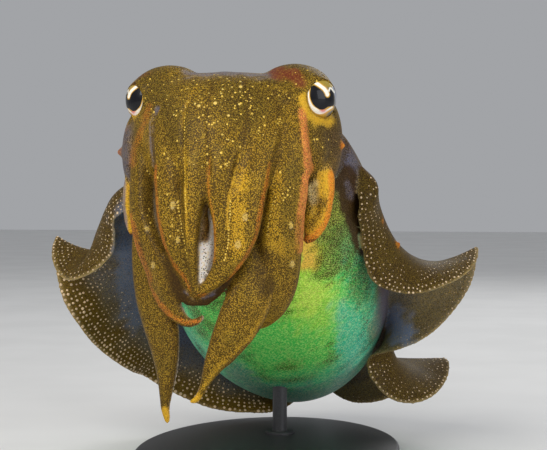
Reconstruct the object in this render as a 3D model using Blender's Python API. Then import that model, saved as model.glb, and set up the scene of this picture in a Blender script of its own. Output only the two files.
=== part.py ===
"""A common cuttlefish as a still, life-size model on a plain display stand.

Units are metres, +Z is up and the animal faces -Y, so its left side is at +X.
The origin is on the floor, under the middle of the stand's base. Sizes below are
written in millimetres and turned into metres by MM.
"""
import functools
import math
import random

import bmesh
import bpy
import numpy as np
from mathutils import Vector

MM = 0.001
GAP = 0.3 * MM

# Place of the head's centre, and the slope of the body behind it.
HEAD_CENTRE = np.array((0.0, -80.0, 139.0)) * MM
COLLAR_BEHIND = 45.0 * MM
COLLAR_BELOW = 17.0 * MM
BODY_PITCH = math.radians(40.0)
TAILWARD = np.array((0.0, math.cos(BODY_PITCH), -math.sin(BODY_PITCH)))
DORSAL = np.array((0.0, math.sin(BODY_PITCH), math.cos(BODY_PITCH)))
SIDEWAYS = np.array((1.0, 0.0, 0.0))
COLLAR = HEAD_CENTRE + np.array((0.0, COLLAR_BEHIND, -COLLAR_BELOW))

# Mantle: distance behind the collar, half width, height above and below its
# widest line.
MANTLE_LENGTH = 165.0 * MM
MANTLE_STATIONS = np.array((
    (0.0, 36.5, 20.0, 29.0),
    (12.0, 40.0, 22.5, 32.0),
    (40.0, 43.5, 24.5, 36.0),
    (75.0, 45.5, 25.0, 37.5),
    (105.0, 43.0, 23.0, 34.5),
    (130.0, 34.5, 18.5, 26.5),
    (150.0, 21.5, 12.0, 16.0),
    (161.0, 10.0, 6.0, 8.0),
)) * MM
MANTLE_RINGS = 17
MANTLE_SIDES = 28
COLLAR_LOBE = 8.0 * MM

# Head: distance behind its centre, half width, top and bottom above its centre.
HEAD_STATIONS = np.array((
    (-12.0, 28.0, 6.0, -17.0),
    (-7.0, 32.5, 9.2, -23.0),
    (2.0, 34.5, 10.0, -27.0),
    (14.0, 34.5, 9.5, -31.0),
    (28.0, 33.5, 7.0, -36.0),
    (48.0, 33.5, 3.0, -40.0),
    (64.0, 33.5, 0.0, -42.0),
)) * MM
HEAD_RINGS = 13
HEAD_SIDES = 28
HEAD_SQUARENESS = 2.4
CROWN_TILT = math.radians(30.0)
CROWN_MIDDLE = HEAD_CENTRE + np.array((-1.5, -9.5, -8.0)) * MM
CROWN_OUT = np.array((0.0, -math.cos(CROWN_TILT), -math.sin(CROWN_TILT)))
BROW_PLACE = np.array((20.5, 1.0, 7.0)) * MM
BROW_SIZE = np.array((9.0, 12.0, 5.0)) * MM

# Eyes: half sunk in the side of the head, ringed by lids.
EYE_CENTRE = np.array((27.3, -1.2, 0.3)) * MM
EYE_RADIUS = 8.0 * MM
EYE_AZIMUTH = math.radians(48.0)
LID_AHEAD = 4.9 * MM
LID_WIDTH = 6.2 * MM
LID_HEIGHT = 6.9 * MM
LID_THICKNESS = 1.5 * MM

# Arms: points from root to tip on the centre line, with half width and half depth
# there, all about the head's centre, and the way that the outer face looks.
ARMS = {
    "arm_1_right": dict(
        outward=(-0.1, -1.0, 0.0), keel=0.0, split=0.50,
        stations=(
            (-8.0, -11.0, 2.6, 5.0, 4.4), (-8.5, -19.5, -6.5, 5.2, 4.6), (-7.9, -26.0, -21.0, 4.9, 4.2),
            (-7.0, -29.5, -36.0, 3.7, 3.4), (-7.2, -29.0, -50.0, 2.1, 2.2), (-7.6, -26.5, -60.0, 1.2, 1.4),
            (-7.9, -24.5, -66.0, 0.5, 0.6))),
    "arm_1_left": dict(
        outward=(0.1, -1.0, 0.0), keel=0.0, split=0.50,
        stations=(
            (1.0, -11.0, 2.6, 5.0, 4.4), (0.8, -19.5, -6.5, 5.2, 4.6), (1.4, -26.0, -21.0, 4.8, 4.2),
            (2.0, -29.5, -36.0, 3.5, 3.4), (2.0, -29.0, -50.0, 2.4, 2.4), (-1.0, -27.5, -59.0, 1.6, 1.6),
            (-5.6, -25.2, -65.6, 0.5, 0.6))),
    "arm_2_right": dict(
        outward=(-0.35, -0.93, 0.0), keel=1.4, split=0.50,
        stations=(
            (-17.5, -9.0, 0.0, 5.8, 4.8), (-18.6, -16.5, -9.0, 6.0, 5.0), (-17.6, -22.0, -22.0, 5.8, 4.6),
            (-15.5, -25.0, -38.0, 4.8, 3.8), (-13.7, -25.0, -50.5, 3.6, 2.9), (-11.8, -23.8, -59.5, 2.2, 2.0),
            (-10.0, -22.3, -66.5, 0.5, 0.6))),
    "arm_2_left": dict(
        outward=(0.35, -0.93, 0.0), keel=1.4, split=0.48,
        stations=(
            (12.0, -9.0, 0.0, 6.4, 4.9), (12.0, -16.5, -9.0, 6.8, 5.1), (11.4, -22.5, -22.0, 6.7, 4.9),
            (10.3, -26.0, -35.0, 5.8, 4.2), (8.9, -26.5, -45.5, 4.9, 3.6), (5.4, -26.0, -55.0, 3.4, 2.8),
            (1.0, -25.0, -62.0, 2.0, 2.0), (-3.6, -23.8, -67.6, 0.5, 0.6))),
    "arm_3_right": dict(
        outward=(-0.75, -0.66, 0.0), keel=1.6, split=0.50,
        stations=(
            (-24.0, -4.0, -7.0, 6.2, 5.2), (-27.6, -8.0, -17.0, 6.4, 5.4), (-27.6, -11.0, -29.0, 6.2, 5.0),
            (-26.4, -15.0, -43.0, 5.2, 4.2), (-22.6, -17.3, -54.5, 5.2, 3.8), (-17.7, -18.8, -64.3, 4.2, 3.2),
            (-12.4, -19.8, -70.8, 2.6, 2.2), (-5.4, -21.0, -73.4, 0.6, 0.6))),
    "arm_3_left": dict(
        outward=(0.6, -0.8, 0.0), keel=1.6, split=0.50,
        stations=(
            (20.5, -4.0, -7.0, 7.0, 5.4), (21.8, -6.5, -17.0, 7.4, 5.6), (21.6, -7.5, -28.0, 7.4, 5.6),
            (20.4, -7.0, -40.0, 6.9, 5.0), (19.8, -5.0, -53.0, 7.0, 4.6), (18.6, -1.0, -65.0, 6.0, 4.0),
            (13.6, 5.0, -74.0, 4.0, 3.0), (7.5, 11.0, -76.0, 0.8, 0.8))),
    "arm_4_right": dict(
        outward=(-0.5, -0.87, 0.0), keel=2.0, split=0.46,
        stations=(
            (-12.0, 0.0, -18.0, 6.4, 5.0), (-19.0, 0.5, -28.0, 6.4, 4.6), (-25.4, -3.0, -41.0, 6.0, 4.0),
            (-26.2, -7.0, -56.4, 6.2, 3.8), (-22.5, -10.0, -68.0, 6.4, 3.5), (-20.2, -12.0, -80.0, 5.2, 3.0),
            (-18.9, -13.0, -90.0, 3.7, 2.4), (-19.1, -13.0, -99.0, 2.1, 1.6), (-19.6, -12.0, -109.0, 0.5, 0.5))),
    "arm_4_left": dict(
        outward=(0.5, -0.87, 0.0), keel=2.0, split=0.46,
        stations=(
            (9.5, 0.0, -18.0, 6.4, 5.0), (11.5, -5.0, -29.0, 6.6, 4.6), (11.8, -9.5, -40.0, 6.6, 4.0),
            (12.2, -13.5, -52.8, 6.8, 3.6), (10.9, -17.0, -62.6, 6.6, 3.4), (7.4, -19.0, -73.4, 5.3, 3.0),
            (1.8, -20.0, -83.2, 3.7, 2.4), (-4.0, -20.0, -92.4, 2.1, 1.6), (-9.8, -20.0, -100.8, 0.5, 0.5))),
}
ARM_SIDES = 12
ARM_RING_STEP = 6.5 * MM
ORAL_FLATNESS = 0.7

# Suckers: two rows along the inner face of each arm, smaller towards the tip.
SUCKER_START = 0.12
SUCKER_END = 0.985
SUCKER_SHARE = 0.34
SUCKER_LARGEST = 1.55 * MM
SUCKER_SMALLEST = 0.45 * MM
SUCKER_PITCH = 4.0
SUCKER_ROW = 0.42
SUCKER_SPLAY = 0.35
SUCKER_SIDES = 6
SUCKER_FOOT = 0.62
SUCKER_CUP = 0.35
SUCKER_SUNK = 0.5
SUCKER_HEIGHT = 0.85
SUCKER_VARIATION = 0.07
SUCKER_CLEAR = 0.45 * MM
SUCKER_SEED = 11

# Tentacle clubs, drawn in between the arms.
TENTACLES = {
    "tentacle_right": dict(
        outward=(0.0, 1.0, 0.0), suckers_from=0.55,
        stations=(
            (-8.5, -12.5, -12.0, 2.0, 2.0), (-7.0, -17.0, -26.0, 2.0, 2.0), (-4.6, -20.5, -40.0, 3.0, 2.2),
            (-4.2, -21.5, -52.0, 3.4, 2.4), (-4.2, -21.0, -62.5, 0.8, 0.8))),
    "tentacle_left": dict(
        outward=(0.0, 1.0, 0.0), suckers_from=0.55,
        stations=(
            (7.0, -11.5, -12.0, 2.0, 2.0), (5.5, -14.0, -24.0, 2.0, 2.0), (3.0, -16.0, -36.0, 2.8, 2.2),
            (1.8, -17.0, -47.0, 3.0, 2.2), (1.2, -17.5, -56.0, 0.8, 0.8))),
}

# Fins: distance behind the collar, width, and angle above the level in degrees.
FINS = {
    "left": (
        (8.0, 7.0, -70.0), (14.0, 14.0, -92.0), (25.0, 20.0, -97.0), (37.0, 24.0, -95.0),
        (48.0, 27.0, -82.0), (56.0, 29.0, -62.0), (64.0, 32.0, -28.0), (71.0, 37.0, 5.0),
        (77.0, 40.0, 24.0), (83.0, 37.0, 10.0), (90.0, 31.0, -22.0), (98.0, 26.0, -75.0),
        (106.0, 25.0, -104.0), (115.0, 33.0, -84.0), (124.0, 37.0, -56.0), (132.0, 38.0, -23.0),
        (140.0, 38.0, 6.0), (146.0, 31.0, 4.0), (152.0, 20.0, -25.0), (158.0, 12.0, -50.0)),
    "right": (
        (8.0, 12.0, -50.0), (18.0, 28.0, -65.0), (30.0, 31.0, -61.0), (40.0, 36.0, -47.0),
        (50.0, 42.0, -24.0), (58.0, 45.0, 3.0), (66.0, 43.0, -9.0), (75.0, 42.0, -28.0),
        (98.0, 38.0, -32.0), (120.0, 34.0, -26.0), (136.0, 33.0, -17.0), (146.0, 24.0, -38.0),
        (152.0, 15.0, -60.0), (158.0, 11.0, -75.0)),
}
FIN_SPANS = {"front": (8.0 * MM, 58.0 * MM), "middle": (58.0 * MM, 108.0 * MM), "rear": (108.0 * MM, 158.0 * MM)}
FIN_STEP = 3.4 * MM
FIN_BANDS = 5
FIN_ROOT_THICKNESS = 3.2 * MM
FIN_EDGE_THICKNESS = 1.1 * MM
FIN_ROOT_INSIDE = 3.0 * MM
FIN_CURL = 0.4

# Smaller pieces.
FLAPS = {
    "cheek_flap_left": dict(centre=(30.0, 6.0, -31.0), size=(5.6, 2.6, 18.0), turn=-8.0),
    "cheek_flap_right": dict(centre=(-33.2, 6.5, -28.0), size=(4.6, 2.6, 16.0), turn=6.0),
}
MOUTH_RADIUS = 6.5 * MM
MOUTH_LENGTH = 9.0 * MM
FUNNEL_POINTS = ((0.0, 30.0, -41.0, 11.0, 7.5), (0.0, 18.0, -44.0, 10.0, 7.0), (0.0, 5.0, -50.0, 6.5, 5.5))
FUNNEL_WALL = 1.6 * MM

# Stand.
BASE_LENGTH = 150.0 * MM
BASE_WIDTH = 104.0 * MM
BASE_THICKNESS = 6.0 * MM
BASE_MIDDLE_Y = 0.0
BASE_EDGE = 1.2 * MM
ROD_RADIUS = 3.0 * MM
ROD_Y = 30.0 * MM


def through(knots, values, at):
    """Smooth curve through the values, read at one or many places."""
    knots = np.asarray(knots, float)
    values = np.asarray(values, float)
    slopes = np.gradient(values, knots, axis=0)
    at = np.clip(np.atleast_1d(at), knots[0], knots[-1])
    index = np.clip(np.searchsorted(knots, at, side="right") - 1, 0, len(knots) - 2)
    span = knots[index + 1] - knots[index]
    part = (at - knots[index]) / span
    if values.ndim > 1:
        span, part = span[:, None], part[:, None]
    start = 2 * part**3 - 3 * part**2 + 1
    leave = part**3 - 2 * part**2 + part
    arrive = part**3 - part**2
    return (start * values[index] + leave * span * slopes[index]
            + (1 - start) * values[index + 1] + arrive * span * slopes[index + 1])


def unit(vector):
    """The vector at length one."""
    return vector / np.linalg.norm(vector)


def clear_scene():
    """Remove every object that the file starts with."""
    for thing in list(bpy.data.objects):
        bpy.data.objects.remove(thing, do_unlink=True)


def make_material(name, colour, roughness, metallic=0.0):
    """One Principled finish."""
    finish = bpy.data.materials.new(name)
    finish.use_nodes = True
    shader = finish.node_tree.nodes["Principled BSDF"]
    shader.inputs["Base Color"].default_value = (*colour, 1.0)
    shader.inputs["Roughness"].default_value = roughness
    shader.inputs["Metallic"].default_value = metallic
    return finish


def make_object(name, points, faces, finish=None):
    """A closed mesh object in world coordinates, with its faces pointing out."""
    mesh = bpy.data.meshes.new(name)
    mesh.from_pydata([tuple(map(float, point)) for point in points], [], faces)
    body = bmesh.new()
    body.from_mesh(mesh)
    bmesh.ops.recalc_face_normals(body, faces=body.faces)
    bmesh.ops.triangulate(body, faces=body.faces)
    if body.calc_volume(signed=True) < 0:
        bmesh.ops.reverse_faces(body, faces=body.faces)
    body.to_mesh(mesh)
    body.free()
    thing = bpy.data.objects.new(name, mesh)
    bpy.context.scene.collection.objects.link(thing)
    if finish:
        mesh.materials.append(finish)
    return thing


def loft(name, rings, first, last, finish=None):
    """A closed body through rings of points, closed by a fan to a point at each end."""
    count, sides = len(rings), len(rings[0])
    points = [point for ring in rings for point in ring] + [first, last]
    faces = []
    for row in range(count - 1):
        for side in range(sides):
            after = (side + 1) % sides
            faces.append((row * sides + side, row * sides + after,
                          (row + 1) * sides + after, (row + 1) * sides + side))
    for side in range(sides):
        after = (side + 1) % sides
        faces.append((count * sides, after, side))
        faces.append((count * sides + 1, (count - 1) * sides + side, (count - 1) * sides + after))
    return make_object(name, points, faces, finish)


def combine(thing, others, operation, solver="EXACT"):
    """Cut the others from the body, or join them to it, then remove them."""
    if not others:
        return thing
    group = bpy.data.collections.new(thing.name + "_pieces")
    bpy.context.scene.collection.children.link(group)
    for other in others:
        group.objects.link(other)
    change = thing.modifiers.new(operation, "BOOLEAN")
    change.operation = operation
    change.operand_type = "COLLECTION"
    change.collection = group
    change.solver = solver
    viewer = bpy.context.evaluated_depsgraph_get()
    result = bpy.data.meshes.new_from_object(thing.evaluated_get(viewer))
    thing.modifiers.clear()
    thing.data = result
    for other in others:
        bpy.data.objects.remove(other, do_unlink=True)
    bpy.data.collections.remove(group)
    keep_largest(thing)
    return thing


def keep_largest(thing):
    """Keep only the largest closed surface of a body."""
    body = bmesh.new()
    body.from_mesh(thing.data)
    bmesh.ops.triangulate(body, faces=body.faces)
    left = set(body.faces)
    shells = []
    while left:
        front = [left.pop()]
        shell = set(front)
        while front:
            face = front.pop()
            for edge in face.edges:
                for near in edge.link_faces:
                    if near in left:
                        left.remove(near)
                        shell.add(near)
                        front.append(near)
        shells.append(shell)

    def volume(shell):
        return abs(sum(face.verts[0].co.dot(face.verts[1].co.cross(face.verts[2].co)) for face in shell))

    largest = max(shells, key=volume)
    loose = [face for face in body.faces if face not in largest]
    bmesh.ops.delete(body, geom=loose, context="FACES")
    body.to_mesh(thing.data)
    body.free()


def body_point(behind, aside, above):
    """A point of the body: behind the collar, to the animal's left, and above the widest line."""
    return COLLAR + behind * TAILWARD + aside * SIDEWAYS + above * DORSAL


def mantle_body(name, grow=0.0, finish=None):
    """The mantle, or a copy of it that is larger all round."""
    knots, sizes = MANTLE_STATIONS[:, 0], MANTLE_STATIONS[:, 1:]
    places = np.linspace(0.0, knots[-1], MANTLE_RINGS)
    rings = []
    for place, (wide, high, deep) in zip(places, through(knots, sizes, places)):
        fade = max(0.0, 1.0 - place / (0.25 * MANTLE_LENGTH))
        ring = []
        for turn in np.linspace(0.0, 2 * math.pi, MANTLE_SIDES, endpoint=False):
            up = math.sin(turn)
            lobe = COLLAR_LOBE * fade * max(0.0, up) ** 2
            height = (high if up > 0 else deep) + grow
            behind = place - lobe - (grow if place == 0.0 else 0.0)
            ring.append(body_point(behind, (wide + grow) * math.cos(turn), height * up))
        rings.append(ring)
    first = body_point(-grow, 0.0, 0.0)
    last = body_point(MANTLE_LENGTH + grow, 0.0, 0.0)
    return loft(name, rings, first, last, finish)


def rounded(turn, squareness):
    """Across and up on a rounded oblong of half size one."""
    across, up = math.cos(turn), math.sin(turn)
    power = 2.0 / squareness
    return math.copysign(abs(across) ** power, across), math.copysign(abs(up) ** power, up)


def head_body(name, grow=0.0, finish=None):
    """The head from the arms' crown back into the collar, or a larger copy."""
    knots, sizes = HEAD_STATIONS[:, 0], HEAD_STATIONS[:, 1:]
    places = np.linspace(knots[0], knots[-1], HEAD_RINGS)
    rings = []
    for place, (wide, top, bottom) in zip(places, through(knots, sizes, places)):
        middle, tall = (top + bottom) / 2, (top - bottom) / 2
        ring = []
        for turn in np.linspace(0.0, 2 * math.pi, HEAD_SIDES, endpoint=False):
            across, up = rounded(turn, HEAD_SQUARENESS)
            lean = (tall * up) * math.tan(CROWN_TILT) * max(0.0, 1.0 - (place - knots[0]) / (34.0 * MM))
            forward = grow if place == knots[0] else 0.0
            ring.append(HEAD_CENTRE + np.array((
                (wide + grow) * across, place - lean - forward, middle + (tall + grow) * up)))
        rings.append(ring)
    first = HEAD_CENTRE + np.array((0.0, knots[0] - grow, (HEAD_STATIONS[0, 2] + HEAD_STATIONS[0, 3]) / 2))
    last = HEAD_CENTRE + np.array((0.0, knots[-1] + grow, (HEAD_STATIONS[-1, 2] + HEAD_STATIONS[-1, 3]) / 2))
    return loft(name, rings, first, last, finish)


def ellipsoid(name, centre, size, finish=None, rings=6, sides=12, turn=0.0):
    """A closed egg of the given half sizes, turned about the fore-and-aft axis."""
    lean = math.radians(turn)
    rows = []
    for level in range(1, rings):
        polar = math.pi * level / rings
        row = []
        for side in range(sides):
            around = 2 * math.pi * side / sides
            point = np.array((math.sin(polar) * math.cos(around), math.sin(polar) * math.sin(around),
                              math.cos(polar))) * size
            row.append(centre + turned(point, lean))
        rows.append(row)
    return loft(name, rows, centre + turned(np.array((0, 0, size[2])), lean),
                centre + turned(np.array((0, 0, -size[2])), lean), finish)


def turned(point, angle):
    """A point turned about the Y axis."""
    cosine, sine = math.cos(angle), math.sin(angle)
    return np.array((point[0] * cosine + point[2] * sine, point[1], point[2] * cosine - point[0] * sine))


def eye_frame(side):
    """Centre of an eye, and the ways that it looks, across and up."""
    centre = HEAD_CENTRE + EYE_CENTRE * np.array((side, 1.0, 1.0))
    look = np.array((side * math.sin(EYE_AZIMUTH), -math.cos(EYE_AZIMUTH), 0.0))
    up = np.array((0.0, 0.0, 1.0))
    return centre, look, np.cross(look, up), up


def eye_body(name, side, grow=0.0, finish=None):
    """A round eye with its pole to the front."""
    centre, look, across, up = eye_frame(side)
    radius = EYE_RADIUS + grow
    rings = []
    for level in range(1, 9):
        polar = math.pi * level / 9
        rings.append([centre + radius * (math.cos(polar) * look + math.sin(polar) * (
            math.cos(around) * across + math.sin(around) * up))
            for around in np.linspace(0.0, 2 * math.pi, 18, endpoint=False)])
    return loft(name, rings, centre + radius * look, centre - radius * look, finish)


def lid_ring(name, side):
    """The rounded rim of skin about an eye."""
    centre, look, across, up = eye_frame(side)
    around_count, section_count = 18, 7
    points, faces = [], []
    for step in range(around_count):
        around = 2 * math.pi * step / around_count
        spoke = math.cos(around) * across * LID_WIDTH + math.sin(around) * up * LID_HEIGHT
        heavy = 1.0 + 0.35 * max(0.0, math.sin(around))
        for part in range(section_count):
            turn = 2 * math.pi * part / section_count
            points.append(centre + LID_AHEAD * look + spoke
                          + LID_THICKNESS * heavy * (math.cos(turn) * unit(spoke) + math.sin(turn) * look))
    for step in range(around_count):
        after = (step + 1) % around_count
        for part in range(section_count):
            beyond = (part + 1) % section_count
            faces.append((step * section_count + part, step * section_count + beyond,
                          after * section_count + beyond, after * section_count + part))
    return make_object(name, points, faces)


def centre_line(spec):
    """Stations of an arm in world metres, with the share of its length at each."""
    stations = np.array(spec["stations"], float) * MM
    steps = np.linalg.norm(np.diff(stations[:, :3], axis=0), axis=1)
    share = np.concatenate(((0.0,), np.cumsum(steps)))
    stations[:, :3] += HEAD_CENTRE
    return stations, share / share[-1], share[-1]


def arm_frame(spec, place):
    """Centre, outer face, side, half width and half depth of an arm at a share of its length."""
    stations, share, _ = centre_line(spec)
    here = through(share, stations, place)[0]
    step = 0.01
    ahead = through(share, stations, min(1.0, place + step))[0][:3]
    back = through(share, stations, max(0.0, place - step))[0][:3]
    along = unit(ahead - back)
    outward = np.array(spec["outward"])
    outward = unit(outward - along * np.dot(outward, along))
    return here[:3], outward, np.cross(along, outward), here[3], here[4], along


def arm_length(name, spec, start, end, grow=0.0, finish=None):
    """One length of an arm as a closed tube, flatter on the side of its suckers."""
    _, _, total = centre_line(spec)
    count = max(4, int(round((end - start) * total / ARM_RING_STEP)) + 1)
    outer = math.copysign(1.0, spec["stations"][0][0] + 3.0)
    rings = []
    for place in np.linspace(start, end, count):
        centre, outward, sideways, wide, deep, _ = arm_frame(spec, place)
        keel = spec.get("keel", 0.0) * MM * min(1.0, wide / (4.0 * MM))
        ring = []
        for turn in np.linspace(0.0, 2 * math.pi, ARM_SIDES, endpoint=False):
            across, out = math.cos(turn), math.sin(turn)
            ridge = keel * max(0.0, across * -outer) ** 6
            reach = (deep if out > 0 else deep * ORAL_FLATNESS) + grow
            ring.append(centre + (wide + grow) * across * sideways + ridge * -outer * sideways
                        + reach * out * outward)
        rings.append(ring)
    first, *_, along = arm_frame(spec, start)
    last, *_, along_end = arm_frame(spec, end)
    return loft(name, rings, first - grow * along, last + grow * along_end, finish)


def sucker_places(name, spec):
    """Where each sucker of an arm sits: share of the arm's length, place, way out and radius."""
    chance = random.Random(SUCKER_SEED + sorted(list(ARMS) + list(TENTACLES)).index(name))
    total = centre_line(spec)[2]
    places = []
    share, row = spec.get("suckers_from", SUCKER_START), 0
    while share < SUCKER_END:
        centre, outward, sideways, wide, deep, _ = arm_frame(spec, share)
        radius = min(SUCKER_LARGEST, max(SUCKER_SMALLEST, SUCKER_SHARE * wide))
        radius *= 1.0 + chance.uniform(-SUCKER_VARIATION, SUCKER_VARIATION)
        shift = SUCKER_ROW * wide * (1 if row % 2 else -1) if wide > 2.0 * radius else 0.0
        level = deep * ORAL_FLATNESS * math.sqrt(max(0.0, 1.0 - (shift / wide) ** 2))
        spot = centre + shift * sideways - level * outward
        away = unit(-outward + SUCKER_SPLAY * (shift / wide) * sideways)
        places.append((share, spot, away, radius))
        share += SUCKER_PITCH * radius / total
        row += 1
    return [entry for entry in places if clear_of_arms(name, entry)]


@functools.lru_cache(maxsize=None)
def frames_along(name):
    """Frames of an arm at even steps, with half the step's length."""
    spec = ARMS.get(name) or TENTACLES[name]
    count = 25
    half = 0.5 * centre_line(spec)[2] / (count - 1)
    return [(*arm_frame(spec, share), half) for share in np.linspace(0.0, 1.0, count)]


def clear_of_arms(name, entry):
    """Whether a sucker stays clear of the mouth and of every other arm."""
    _, spot, away, radius = entry
    for reach in (0.0, 1.0):
        point = spot + reach * SUCKER_HEIGHT * radius * away
        margin = radius + SUCKER_CLEAR
        if np.linalg.norm(point - CROWN_MIDDLE) < MOUTH_LENGTH + margin:
            return False
        for other in [*ARMS, *TENTACLES]:
            if other == name:
                continue
            for centre, outward, sideways, wide, deep, along, half in frames_along(other):
                step = point - centre
                if abs(np.dot(step, along)) > half + margin:
                    continue
                across = np.dot(step, sideways) / (wide + margin)
                out = np.dot(step, outward)
                out /= (deep if out > 0 else deep * ORAL_FLATNESS) + margin
                if across ** 2 + out ** 2 < 1.0:
                    return False
    return True


def sucker(spot, away, radius):
    """One cup with its root sunk in the arm."""
    side = unit(np.cross(away, (0.31, 0.17, 0.93)))
    other = np.cross(away, side)
    rings = []
    for reach, level in ((SUCKER_FOOT, -SUCKER_SUNK), (1.0, SUCKER_HEIGHT)):
        rings.append([spot + radius * (level * away + reach * (
            math.cos(turn) * side + math.sin(turn) * other))
            for turn in np.linspace(0.0, 2 * math.pi, SUCKER_SIDES, endpoint=False)])
    return loft("sucker", rings, spot - SUCKER_SUNK * radius * away, spot + SUCKER_CUP * radius * away)


def add_suckers(length, spec, cups, start, end):
    """Join the suckers that stand on one length of an arm to it."""
    total = centre_line(spec)[2]
    own = []
    for share, spot, away, radius in cups:
        room = radius / total
        if share - room > start and (share + room < end or end == 1.0):
            own.append(sucker(spot, away, radius))
    combine(length, own, "UNION")


def fin_point(side, stations, behind, share):
    """A point on a fin's middle surface, and the way along its width there."""
    width, angle = through(stations[:, 0], stations[:, 1:], behind)[0]
    wide = through(MANTLE_STATIONS[:, 0], MANTLE_STATIONS[:, 1], behind)[0]
    lateral, rise = 0.0, 0.0
    steps = 8
    for step in range(steps):
        middle = share * (step + 0.5) / steps
        lean = math.radians(angle) * (1.0 + FIN_CURL * (2.0 * middle - 1.0))
        lateral += math.cos(lean) * share * width / steps
        rise += math.sin(lean) * share * width / steps
    return body_point(behind, side * (wide + lateral), rise)


def fin_length(name, side, stations, start, end, finish):
    """One length of a fin: a thin waved sheet, alike on both faces."""
    count = int(round((end - start) / FIN_STEP)) + 1
    places = np.linspace(start, end, count)
    shares = np.linspace(0.0, 1.0, FIN_BANDS + 1)
    tiny = 0.2 * MM
    upper, lower = [], []
    for place in places:
        for share in shares:
            here = fin_point(side, stations, place, share)
            along = fin_point(side, stations, place + tiny, share) - fin_point(side, stations, place - tiny, share)
            out = fin_point(side, stations, place, share + 0.02) - fin_point(side, stations, place, share - 0.02)
            across = unit(np.cross(along, out))
            thick = FIN_ROOT_THICKNESS + (FIN_EDGE_THICKNESS - FIN_ROOT_THICKNESS) * share ** 0.6
            if share == 0.0:
                here = here - FIN_ROOT_INSIDE * side * SIDEWAYS
            upper.append(here + across * thick / 2)
            lower.append(here - across * thick / 2)
    bands = len(shares)
    total = len(upper)
    faces = []
    for row in range(count - 1):
        for band in range(bands - 1):
            a = row * bands + band
            b, c, d = a + 1, a + bands + 1, a + bands
            for one, two, three in ((a, b, c), (a, c, d)):
                faces.append((one, two, three))
                faces.append((total + one, total + three, total + two))
    rim = ([band for band in range(bands)]
           + [row * bands + bands - 1 for row in range(1, count)]
           + [(count - 1) * bands + band for band in range(bands - 2, -1, -1)]
           + [row * bands for row in range(count - 2, 0, -1)])
    for step, here in enumerate(rim):
        after = rim[(step + 1) % len(rim)]
        faces.append((here, total + here, total + after, after))
    return make_object(name, upper + lower, faces, finish)


def mouth_body(name, finish):
    """The round membrane about the mouth, with its lips drawn in."""
    up = np.array((0.0, -math.sin(CROWN_TILT), math.cos(CROWN_TILT)))
    profile = ((-1.0, 0.9), (0.35, 1.0), (0.8, 0.75), (1.0, 0.5), (0.85, 0.28))
    rings = [[CROWN_MIDDLE + MOUTH_LENGTH * ahead * CROWN_OUT + MOUTH_RADIUS * reach * (
        math.cos(turn) * SIDEWAYS + math.sin(turn) * up)
        for turn in np.linspace(0.0, 2 * math.pi, 14, endpoint=False)] for ahead, reach in profile]
    return loft(name, rings, CROWN_MIDDLE - MOUTH_LENGTH * CROWN_OUT,
                CROWN_MIDDLE + 0.5 * MOUTH_LENGTH * CROWN_OUT, finish)


def funnel_body(name, finish):
    """The funnel under the head, open at its front end."""
    points = np.array(FUNNEL_POINTS) * MM
    along = unit(points[-1, :3] - points[0, :3])
    up = unit(np.array((0.0, -along[2], along[1])) * -1.0)
    rings = []
    for place in np.linspace(0.0, 1.0, 6):
        row = through(np.array((0.0, 0.5, 1.0)), points, place)[0]
        rings.append([HEAD_CENTRE + row[:3] + row[3] * math.cos(turn) * SIDEWAYS + row[4] * math.sin(turn) * up
                      for turn in np.linspace(0.0, 2 * math.pi, 16, endpoint=False)])
    lip = points[-1]
    rings.append([HEAD_CENTRE + lip[:3] - 9.0 * MM * along
                  + (lip[3] - FUNNEL_WALL) * math.cos(turn) * SIDEWAYS + (lip[4] - FUNNEL_WALL) * math.sin(turn) * up
                  for turn in np.linspace(0.0, 2 * math.pi, 16, endpoint=False)])
    return loft(name, rings, HEAD_CENTRE + points[0, :3], HEAD_CENTRE + lip[:3] - 10.0 * MM * along, finish)


def turned_plate(name, radii, heights, middle, stretch, finish, sides=48):
    """A round or oval plate turned from a short profile."""
    rings = [[np.array((middle[0] + radius * math.cos(turn), middle[1] + (radius + stretch) * math.sin(turn), height))
              for turn in np.linspace(0.0, 2 * math.pi, sides, endpoint=False)]
             for radius, height in zip(radii, heights)]
    first = np.array((middle[0], middle[1], heights[0]))
    last = np.array((middle[0], middle[1], heights[-1]))
    return loft(name, rings, first, last, finish)


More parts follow.
